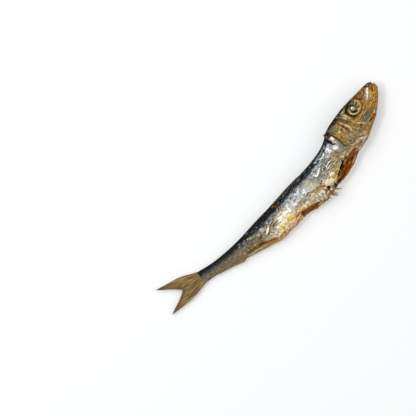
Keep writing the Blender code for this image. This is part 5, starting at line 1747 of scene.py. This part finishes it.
def make_tail_fin(base):
    """The forked tail fin, half closed: rays fan out and split, and the skin between is torn.

    Across runs from the belly lobe to the back lobe and out from the root to the tips. The
    outer margin is cut in and out by noise, more between the rays than on them.
    """
    across = np.linspace(-1.0, 1.0, 221)[None, :]
    out = np.linspace(0.0, 1.0, 90)[:, None]
    rays = 0.5 + 0.5 * np.cos(across * TAIL_RAYS * math.pi)
    branches = 0.5 + 0.5 * np.cos(across * 2 * TAIL_RAYS * math.pi)
    rays = rays * (1.0 - smoothstep(0.4, 0.75, out)) + branches * smoothstep(0.4, 0.75, out)
    length = TAIL_FIN_NOTCH - TAIL_FIN_START
    length = length + (TAIL_FIN_TIP - TAIL_FIN_NOTCH) * np.abs(across) ** 1.3
    torn_back = 0.5 * np.abs(noise(301, across * 16.0, 0.0, 0.0)) + 0.35 * (1.0 - rays)
    along = TAIL_FIN_START + length * out - 0.8 * (out * across) ** 8
    along = along - torn_back * smoothstep(0.75, 1.0, out)
    flare = 0.55 * smoothstep(0.0, 0.55, out) + 0.45 * out
    height = (TAIL_FIN_HALF_ROOT + (TAIL_FIN_HALF_TIP - TAIL_FIN_HALF_ROOT) * flare) * across
    side = 0.25 * np.sin(3.0 * across + 1.0) * out + 0.1 * noise(303, across * 4.0, out * 3.0, 0.0)
    thickness = TAIL_FIN_THICKNESS * (1.3 - 0.75 * out) * (0.55 + 0.45 * rays)
    colours = fin_colours(across * 3.0, out, 305, base)
    tint(colours, ("umber", rays * 0.45))
    return add_sheet("tail_fin", along, height, side, thickness, colours, shine=0.0, wet=0.3)


def make_folded_fin(name, span, edge, rise, sign, rays, base):
    """A fin folded along the back or the belly: overlapping rays that lean towards the tail.

    The crest climbs quickly at the front and falls to the rear, and drops a little behind
    each ray's tip, so the edge is a row of low steps.
    """
    out = np.linspace(0.0, 1.0, 14)[None, :]
    share = np.linspace(0.0, 1.0, 260)[:, None]
    phase = (share * rays - 0.35 * out) % 1.0
    along = span[0] + (span[1] - span[0]) * share + 0.8 * out
    crest = rise * smoothstep(0.0, 0.14, share) * (1.0 - 0.75 * share) * (0.7 + 0.45 * phase)
    root = curve_through(edge, along) - 1.2
    height = sign * (root + (crest + 1.2) * out)
    side = 0.12 * np.sin(share * 9.0) * out + 0.05 * np.sin(phase * 2 * math.pi)
    thickness = FOLDED_FIN_THICKNESS * (1.2 - 0.6 * out) * (0.75 + 0.25 * np.sin(phase * math.pi))
    colours = fin_colours(share * 6.0, out, 311 + rays, base)
    tint(colours, ("umber", (1.0 - smoothstep(0.0, 0.3, phase)) * 0.6))
    if sign > 0:
        tint(colours, ("soot", 0.55 + 0.4 * out))
    return add_sheet(name, along, height, side, thickness, colours, shine=0.0, wet=0.35)


def tube_points(path, radii, count):
    """A round tube in fish coordinates along a path, whose rings stand square to it.

    What comes back is its rings' points, with one more for each end, and how many rings.
    """
    middle, places = smooth_path(path)
    radius = np.interp(places, np.arange(len(radii)), radii)
    ahead = np.gradient(middle, axis=0)
    ahead /= np.linalg.norm(ahead, axis=1)[:, None]
    beside = np.cross(ahead, (0.0, 0.0, 1.0))
    beside /= np.linalg.norm(beside, axis=1)[:, None]
    above = np.cross(beside, ahead)
    turn = np.linspace(0, 2 * math.pi, count, endpoint=False)
    round_it = beside[:, None] * np.cos(turn)[:, None] + above[:, None] * np.sin(turn)[:, None]
    rings = middle[:, None] + radius[:, None, None] * round_it
    return np.concatenate([rings.reshape(-1, 3), middle[:1], middle[-1:]]), len(places)


# The path of each broken ray or bone, and its radii, in millimetres
BRISTLES = (
    (((40.1, -5.9, 2.0), (39.5, -7.3, 1.2), (38.9, -8.3, 0.9), (38.2, -9.1, 0.7)),
     (0.2, 0.2, 0.17, 0.1)),
    (((40.5, -6.0, 1.8), (39.9, -7.2, 1.4), (39.4, -8.0, 1.3), (38.9, -8.4, 1.2)),
     (0.15, 0.15, 0.12, 0.06)),
    (((41.8, -5.9, 1.9), (41.6, -7.3, 1.2), (41.2, -8.4, 0.8), (40.8, -9.5, 0.6)),
     (0.3, 0.3, 0.26, 0.16)),
    (((42.3, -6.0, 1.7), (42.1, -7.4, 1.0), (41.7, -8.6, 0.5), (41.4, -9.3, 0.3)),
     (0.21, 0.22, 0.18, 0.1)),
    (((41.3, -6.0, 2.1), (41.0, -7.2, 1.7), (40.7, -8.3, 1.5), (40.2, -9.0, 1.4)),
     (0.2, 0.2, 0.16, 0.08)),
    (((43.6, -5.9, 1.6), (43.5, -7.2, 0.9), (43.3, -7.9, 0.7), (43.0, -8.3, 0.6)),
     (0.24, 0.25, 0.2, 0.1)),
    (((44.6, -6.0, 1.6), (44.7, -7.1, 1.1), (44.6, -7.7, 0.9), (44.4, -8.0, 0.9)),
     (0.2, 0.2, 0.15, 0.08)),
)


def make_bristles():
    """What is left of the belly fins: a few broken rays and small bones below the belly."""
    parts = []
    for number, (path, radii) in enumerate(BRISTLES):
        points, rings = tube_points(path, radii, BRISTLE_POINTS)
        along, height, side = points.T
        cloud = rough(331 + number, along * 1.5, height * 1.5, 0.0)
        colours = stained(
            cloud.shape,
            ("copper", 1.0),
            ("umber", smoothstep(0.1, 0.6, cloud) * 0.6),
            ("sand", smoothstep(-0.3, 0.4, -cloud) * 0.8),
        )
        parts.append((place(along, height, side), ring_faces(rings, BRISTLE_POINTS), colours))
    return add_closed("belly_fin_rays", parts, wet=0.3)


# The name, span along the fish, seed and length of each curled edge
TORN_EDGES = (
    ("torn_edge_front", (35.4, 37.6), 341, 0.35),
    ("torn_edge_rear", (47.2, 54.2), 347, 0.2),
)


def make_torn_edges(edge_colour):
    """Curled skin along the upper edge of each tear, jagged where it broke.

    Each strip starts on the skin above the edge, runs over it and lifts off the flesh.
    """
    strips = []
    share, over = np.meshgrid(np.linspace(0.0, 1.0, 120), np.linspace(0.0, 1.0, 12), indexing="ij")
    ends = smoothstep(0.0, 0.12, share) * smoothstep(1.0, 0.88, share)
    for name, span, seed, reach in TORN_EDGES:
        along = span[0] + (span[1] - span[0]) * share
        front = curve_through(TEAR_ONE_TOP, along)
        rear = TEAR_TWO_TOP[0] + TEAR_TWO_TOP[1] * (along - TEAR_TWO[0])
        start = (front if span[0] < TEAR_ONE[1] else rear) + TORN_EDGE_OVERLAP
        jag = np.abs(noise(seed, along / 1.1, 0.0, 0.0))
        jag += 0.5 * np.abs(noise(seed + 1, along / 0.4, 0.0, 0.0))
        length = reach * (0.35 + 0.9 * jag) * ends
        height = start - (0.3 + length) * over
        curl = 0.35 * over**2 * (0.6 + 0.8 * jag) * ends
        side = flank_side(along, start) - 0.05 - 0.28 * over + curl
        cloud = rough(seed + 3, along / 0.8, height / 0.8, 0.0)
        colours = stained(
            cloud.shape,
            (edge_colour, 1.0),
            ("ivory", smoothstep(-0.1, 0.4, cloud) * 0.7),
            ("umber", smoothstep(0.55, 1.0, over + 0.3 * cloud) * 0.8),
        )
        strips.append(add_sheet(name, along, height, side, TORN_EDGE_THICKNESS, colours,
                                shine=0.2, wet=0.5))
    return strips


# The place, along and in height, and the radius of each crumb, in millimetres
CRUMBS = (
    (38.7, -6.2, 0.42), (38.2, -6.6, 0.34), (37.3, -6.7, 0.3), (36.4, -6.8, 0.28),
    (39.4, -6.5, 0.3), (40.7, -5.0, 0.3), (46.3, -6.6, 0.26), (45.2, -6.8, 0.28),
)


def make_crumbs():
    """Dark dried crumbs in the front tear, in the hole behind it and at the belly's edge."""
    rng = np.random.default_rng(23)
    parts = []
    for number, (along, height, radius) in enumerate(CRUMBS):
        side = flank_side(np.array([along]), np.array([height]))[0] + 0.02
        radii = radius * rng.uniform(0.7, 1.3, 3)
        x, y, z = ball_points((along, height, side), radii, *CRUMB_GRID, 0.35, 400 + number)
        cloud = rough(410 + number, x * 3, y * 3, z * 3)
        colours = stained(cloud.shape, ("soot", 1.0), ("umber", smoothstep(-0.2, 0.5, cloud) * 0.8))
        parts.append((place(x, y, z), ring_faces(*CRUMB_GRID), colours))
    return add_closed("dark_crumbs", parts, wet=0.4)


# The name, place, radii, ground and stain of each knob of bone
KNOBS = (
    ("nape_knob", (25.75, 7.25, 0.6), (0.72, 0.6, 0.6), "soot", "steel"),
    ("right_jaw_joint", (10.2, -5.6, 1.1), (0.65, 0.5, 0.6), "copper", "amber"),
    ("left_jaw_joint", (10.2, -5.6, -1.1), (0.65, 0.5, 0.6), "copper", "amber"),
)


def make_knobs():
    """The small dark knob behind the nape and the two joints of the jaw."""
    knobs = []
    for name, at, radii, ground, stain in KNOBS:
        x, y, z = ball_points(at, radii, *KNOB_GRID, 0.2, 420)
        cloud = rough(425, x * 2, y * 2, z * 2)
        colours = stained(cloud.shape, (ground, 1.0), (stain, smoothstep(0.0, 0.5, cloud) * 0.6))
        part = (place(x, y, z), ring_faces(*KNOB_GRID), colours)
        knobs.append(add_closed(name, [part], wet=0.5))
    return knobs


def make_scales(count, largest):
    """Loose scales that still stick to the flank: thin bent discs, each turned its own way."""
    rng = np.random.default_rng(77)
    points_round = LOOSE_SCALE_POINTS
    along = rng.uniform(28.0, 59.0, count)
    height = rng.uniform(-2.6, 3.6, count)
    radius = largest * rng.uniform(0.45, 1.0, count)
    spin = rng.uniform(0.0, 2 * math.pi, count)
    lean = rng.uniform(-0.22, 0.22, (count, 2))
    turn = np.linspace(0.0, 2 * math.pi, points_round, endpoint=False)[None, :] + spin[:, None]
    x = radius[:, None] * np.cos(turn)
    y = 0.8 * radius[:, None] * np.sin(turn)
    ring_along, ring_height = along[:, None] + x, height[:, None] + y
    low = flank_side(ring_along, ring_height)
    middle = flank_side(along, height)
    tilt = lean[:, :1] * x + lean[:, 1:] * y
    ring_side = np.maximum(low, middle[:, None] - 0.1) + 0.02 + np.clip(tilt, 0.0, 1.0)
    upper = place(ring_along, ring_height, ring_side + LOOSE_SCALE_THICKNESS / 2)
    lower = place(ring_along, ring_height, ring_side - LOOSE_SCALE_THICKNESS / 2)
    centre = ring_side.mean(axis=1)
    crown = place(along, height, centre + 0.07)
    foot = place(along, height, centre - 0.05)
    one = np.concatenate([upper, lower, crown[:, None], foot[:, None]], axis=1)
    k = np.arange(points_round)
    after = (k + 1) % points_round
    top, base = np.full(points_round, 2 * points_round), np.full(points_round, 2 * points_round + 1)
    border = np.stack([k, k + points_round, after + points_round, after], axis=1)
    upper_fan = np.stack([top, k, after], axis=1)
    lower_fan = np.stack([base, after + points_round, k + points_round], axis=1)
    shift = np.arange(count)[:, None, None] * one.shape[1]
    quads = (border[None] + shift).reshape(-1, 4)
    fans = (np.concatenate([upper_fan, lower_fan])[None] + shift).reshape(-1, 3)
    # each scale is whitened by a random amount, a painted glint, and is straw-coloured towards the
    # belly
    colours = stained(
        (count,),
        ("ash", 1.0),
        ("frost", rng.uniform(0.1, 0.7, count)),
        ("straw", smoothstep(0.5, -2.5, height) * 0.7),
    )
    colours = np.repeat(colours, one.shape[1], axis=0)
    silvery = np.full(len(colours), 0.7)
    return add_mesh("loose_scales", one.reshape(-1, 3), [quads, fans], colours, shine=silvery,
                    wet=silvery)


# ---------------------------------------------------------------- stage


LIGHTS_FACE = (0.03, 0.0, 0.0)  # metres, the middle of the trunk
# The name, the setting that holds the power, the place and the side of each light, in metres
LIGHTS = (
    ("key softbox", "key", (-0.05, 0.42, 0.62), 0.6),
    ("sparkle", "sparkle", (-0.3, 0.25, 0.6), 0.08),
    ("fill softbox", "fill", (0.4, -0.35, 0.6), 0.7),
)
SKY_COLOUR = "#eef1f5"
PAINT_GRAIN = 2.5 * MM  # the width of the soft grain in the floor's paint
FLOOR_SHARE = 0.7  # of the floor's colour that it sends back
FLOOR_GLOW = 0.3  # what it adds of its own, to keep its shadows soft


def make_floor(colour, size):
    """A wide pale floor: a square sheet of metres size, with a soft grain too faint to see."""
    signs = ((-1, -1), (1, -1), (1, 1), (-1, 1))
    mesh = bpy.data.meshes.new("floor")
    mesh.from_pydata([(x * size / 2, y * size / 2, 0.0) for x, y in signs], [], [(0, 1, 2, 3)])
    floor = bpy.data.objects.new("floor", mesh)
    bpy.context.scene.collection.objects.link(floor)
    material, tree, shader = new_material("matt white table paint")
    place_on = add_node(tree, "ShaderNodeTexCoord").outputs["Object"]
    grain = add_node(tree, "ShaderNodeTexNoise", {"Vector": place_on, "Scale": 1 / PAINT_GRAIN})
    bump = add_node(tree, "ShaderNodeBump", {"Height": grain.outputs["Fac"], "Strength": 0.05,
                                             "Distance": 0.5 * MM})
    tree.links.new(bump.outputs["Normal"], shader.inputs["Normal"])
    shader.inputs["Base Color"].default_value = (*(FLOOR_SHARE * v for v in colour), 1.0)
    shader.inputs["Emission Color"].default_value = (*colour, 1.0)
    shader.inputs["Emission Strength"].default_value = FLOOR_GLOW
    shader.inputs["Roughness"].default_value = 0.7
    mesh.materials.append(material)


def make_light(name, at, size, power):
    """A square soft box of metres size at a place, turned to face the fish."""
    data = bpy.data.lights.new(name, "AREA")
    data.shape = "SQUARE"
    data.size = size
    data.energy = power
    light = bpy.data.objects.new(name, data)
    light.location = at
    light.rotation_euler = (Vector(LIGHTS_FACE) - Vector(at)).to_track_quat("-Z", "Y").to_euler()
    bpy.context.scene.collection.objects.link(light)


def make_camera():
    """A camera straight above the flank, turned and framed as the photograph is."""
    half_view = PHOTO_PIXEL * PHOTO_SIDE / 2
    distance = half_view / (SENSOR / 2 / LENS)
    angle = math.radians(CAMERA_TURN)
    right = np.array((math.cos(angle), math.sin(angle)))
    up = np.array((-math.sin(angle), math.cos(angle)))
    to_snout_right = (SNOUT_PIXEL[0] - PHOTO_SIDE / 2) * PHOTO_PIXEL
    to_snout_up = (PHOTO_SIDE / 2 - SNOUT_PIXEL[1]) * PHOTO_PIXEL
    middle = np.array(SNOUT_AT) * MM - to_snout_right * right - to_snout_up * up
    data = bpy.data.cameras.new("camera")
    data.lens = LENS
    data.sensor_width = SENSOR
    camera = bpy.data.objects.new("camera", data)
    camera.location = (middle[0], middle[1], OUTLINE_HEIGHT + distance)
    camera.rotation_euler = (0.0, 0.0, angle)
    bpy.context.scene.collection.objects.link(camera)
    bpy.context.scene.camera = camera


# ---------------------------------------------------------------- the add-on


def colour_prop(name, code, words):
    """A colour property, whose default is an sRGB hex colour."""
    return bpy.props.FloatVectorProperty(
        name=name, description=words, subtype="COLOR", size=3, min=0.0, max=1.0,
        default=linear(code)[:3],
    )


def share_prop(name, default, words):
    """A property from 0 to 1."""
    return bpy.props.FloatProperty(
        name=name, description=words, subtype="FACTOR", min=0.0, max=1.0, default=default,
    )


def length_prop(name, default, most, words):
    """A length in metres, up to a largest one."""
    return bpy.props.FloatProperty(
        name=name, description=words, unit="LENGTH", precision=4, min=0.0, max=most,
        default=default,
    )


def count_prop(name, default, most, words):
    """A whole number of like parts, up to a largest one."""
    return bpy.props.IntProperty(name=name, description=words, min=1, max=most, default=default)


def power_prop(name, default, words):
    """A light's power in watts."""
    return bpy.props.FloatProperty(
        name=name, description=words, unit="POWER", min=0.0, max=100.0, default=default,
    )


class SARDINE_PG_skin(bpy.types.PropertyGroup):
    silver: colour_prop("Silver", "#979691", "Ground colour of the flanks")
    back: colour_prop("Back", "#0e0f11", "Colour of the dark back and crown")
    head: colour_prop("Head", "#8f7843", "Ground colour of the head's bones and skin")
    flesh: colour_prop("Flesh", "#743505", "Colour of the dried flesh in the tears")
    metal: share_prop("Mirror", 0.45, "How metallic the silver of the flanks is")
    dull: share_prop("Dullness", 0.45, "Roughness of dry skin; oily skin is glossier")
    grain: share_prop("Grain", 0.5, "Strength of the fine grain of the dried film")


class SARDINE_PG_eyes(bpy.types.PropertyGroup):
    ring: colour_prop("Ring", "#c89a40", "Colour of the gold ring round the lens")
    gloss: share_prop("Gloss", 0.15, "Weight of the clear film over the eye")


class SARDINE_PG_fins(bpy.types.PropertyGroup):
    skin: colour_prop("Fin", "#8f7444", "Ground colour of the dried fins")
    back_rise: length_prop("Back fin rise", BACK_FIN_RISE * MM / 2, 0.003,
                           "Height of the folded back fin above the back")
    back_rays: count_prop("Back fin rays", 17, 40, "Rays of the back fin")
    vent_rise: length_prop("Vent fin rise", VENT_FIN_RISE * MM, 0.003,
                           "Height of the folded vent fin below the belly")
    vent_rays: count_prop("Vent fin rays", 15, 40, "Rays of the vent fin")


class SARDINE_PG_torn(bpy.types.PropertyGroup):
    edge: colour_prop("Torn edge", "#a7905e", "Ground colour of the curled torn skin")
    scales: count_prop("Loose scales", 110, 600, "Scales that have come loose on the flank")
    largest: length_prop("Largest scale", 0.00036, 0.002, "Radius of the largest loose scale")


class SARDINE_PG_stage(bpy.types.PropertyGroup):
    floor: colour_prop("Floor", "#fbfbfb", "Colour of the pale floor")
    size: length_prop("Floor size", 3.0, 20.0, "Side of the square floor")
    key: power_prop("Key light", 2.9, "Power of the large soft light above the back")
    sparkle: power_prop("Sparkle", 0.9, "Power of the small light that makes the glints")
    fill: power_prop("Fill light", 1.7, "Power of the soft light from the belly side")
    sky: share_prop("Sky", 0.42, "Strength of the even light from all round")


class SARDINE_OT_skin(bpy.types.Operator):
    """Builds and paints the whole skin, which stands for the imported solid"""

    bl_idname = "sardine.skin"
    bl_label = "Skin"

    def execute(self, context):
        look = context.scene.sardine_skin
        # silver that shines in flecks between dull stains, half covered by a dry film
        piece = make_skin(look)
        finish_piece(piece, dried_skin("dried silver fish skin", look.metal, look.dull, look.grain,
                                       coat=0.0, gloss=0.05))
        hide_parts(NODE)
        return {"FINISHED"}


class SARDINE_OT_eyes(bpy.types.Operator):
    """Builds the two dried eyes"""

    bl_idname = "sardine.eyes"
    bl_label = "Eyes"

    def execute(self, context):
        look = context.scene.sardine_eyes
        # a hardened clear film over a cloudy lens: the one part with a small sharp glint
        material = dried_skin("dried fish eye", metal=0.0, dull=0.4, bump=0.1,
                              coat=look.gloss, gloss=0.2)
        for piece in make_eyes(look.ring):
            finish_piece(piece, material)
        return {"FINISHED"}


class SARDINE_OT_fins(bpy.types.Operator):
    """Builds the tail fin, the folded fins and the rays that are left of the belly fins"""

    bl_idname = "sardine.fins"
    bl_label = "Fins"

    def execute(self, context):
        look = context.scene.sardine_fins
        # horny rays with parchment-like skin between them: matt, with no silver
        material = dried_skin("dried fin", metal=0.0, dull=0.5, bump=0.4, coat=0.0, gloss=0.08)
        back_fin = make_folded_fin("back_fin", BACK_FIN, BACK_LINE, look.back_rise / MM, 1,
                                   look.back_rays, look.skin)
        vent_fin = make_folded_fin("vent_fin", VENT_FIN, BELLY_LINE, look.vent_rise / MM, -1,
                                   look.vent_rays, look.skin)
        for piece in (make_tail_fin(look.skin), back_fin, vent_fin, make_bristles()):
            finish_piece(piece, material)
        return {"FINISHED"}


class SARDINE_OT_torn(bpy.types.Operator):
    """Builds the curled torn skin, the crumbs, the knobs and the loose scales"""

    bl_idname = "sardine.torn"
    bl_label = "Torn skin and scales"

    def execute(self, context):
        look = context.scene.sardine_torn
        # thin skin whose raw edge has dried brown and rough, with a little silver left
        torn_skin = dried_skin("torn dried skin", metal=0.3, dull=0.45, bump=0.5, coat=0.0,
                               gloss=0.08)
        for piece in (*make_torn_edges(look.edge), make_crumbs(), *make_knobs()):
            finish_piece(piece, torn_skin)
        # single scales, smoother and brighter than the skin that they lie on
        scales = make_scales(look.scales, look.largest / MM)
        finish_piece(scales, dried_skin("loose fish scale", metal=0.5, dull=0.42, bump=0.2,
                                        coat=0.0, gloss=0.3))
        return {"FINISHED"}


class SARDINE_OT_stage(bpy.types.Operator):
    """Builds the pale floor, the soft light and the camera"""

    bl_idname = "sardine.stage"
    bl_label = "Stage"

    def execute(self, context):
        look = context.scene.sardine_stage
        make_floor(look.floor, look.size)
        world = bpy.data.worlds.new("studio")
        world.use_nodes = True
        back = world.node_tree.nodes["Background"]
        back.inputs["Color"].default_value = linear(SKY_COLOUR)
        back.inputs["Strength"].default_value = look.sky
        context.scene.world = world
        context.scene.view_settings.view_transform = "Standard"
        for name, setting, at, size in LIGHTS:
            make_light(name, at, size, getattr(look, setting))
        make_camera()
        return {"FINISHED"}


class SARDINE_PT_tools(bpy.types.Panel):
    """The builder's buttons in the 3D view's sidebar"""

    bl_idname = "SARDINE_PT_tools"
    bl_label = "Dried sardine"
    bl_space_type = "VIEW_3D"
    bl_region_type = "UI"
    bl_category = "Sardine"

    def draw(self, context):
        for name, group, operator in STEPS:
            box = self.layout.box()
            settings = getattr(context.scene, name)
            for key in group.__annotations__:
                box.prop(settings, key)
            box.operator(operator.bl_idname)


STEPS = (
    ("sardine_skin", SARDINE_PG_skin, SARDINE_OT_skin),
    ("sardine_eyes", SARDINE_PG_eyes, SARDINE_OT_eyes),
    ("sardine_fins", SARDINE_PG_fins, SARDINE_OT_fins),
    ("sardine_torn", SARDINE_PG_torn, SARDINE_OT_torn),
    ("sardine_stage", SARDINE_PG_stage, SARDINE_OT_stage),
)


def register():
    for name, group, operator in STEPS:
        bpy.utils.register_class(group)
        bpy.utils.register_class(operator)
        setattr(bpy.types.Scene, name, bpy.props.PointerProperty(type=group))
    bpy.utils.register_class(SARDINE_PT_tools)


def unregister():
    bpy.utils.unregister_class(SARDINE_PT_tools)
    for name, group, operator in reversed(STEPS):
        delattr(bpy.types.Scene, name)
        bpy.utils.unregister_class(operator)
        bpy.utils.unregister_class(group)


def main():
    register()
    bpy.ops.sardine.skin()
    bpy.ops.sardine.eyes()
    bpy.ops.sardine.fins()
    bpy.ops.sardine.torn()
    bpy.ops.sardine.stage()


if __name__ == "__main__":
    main()
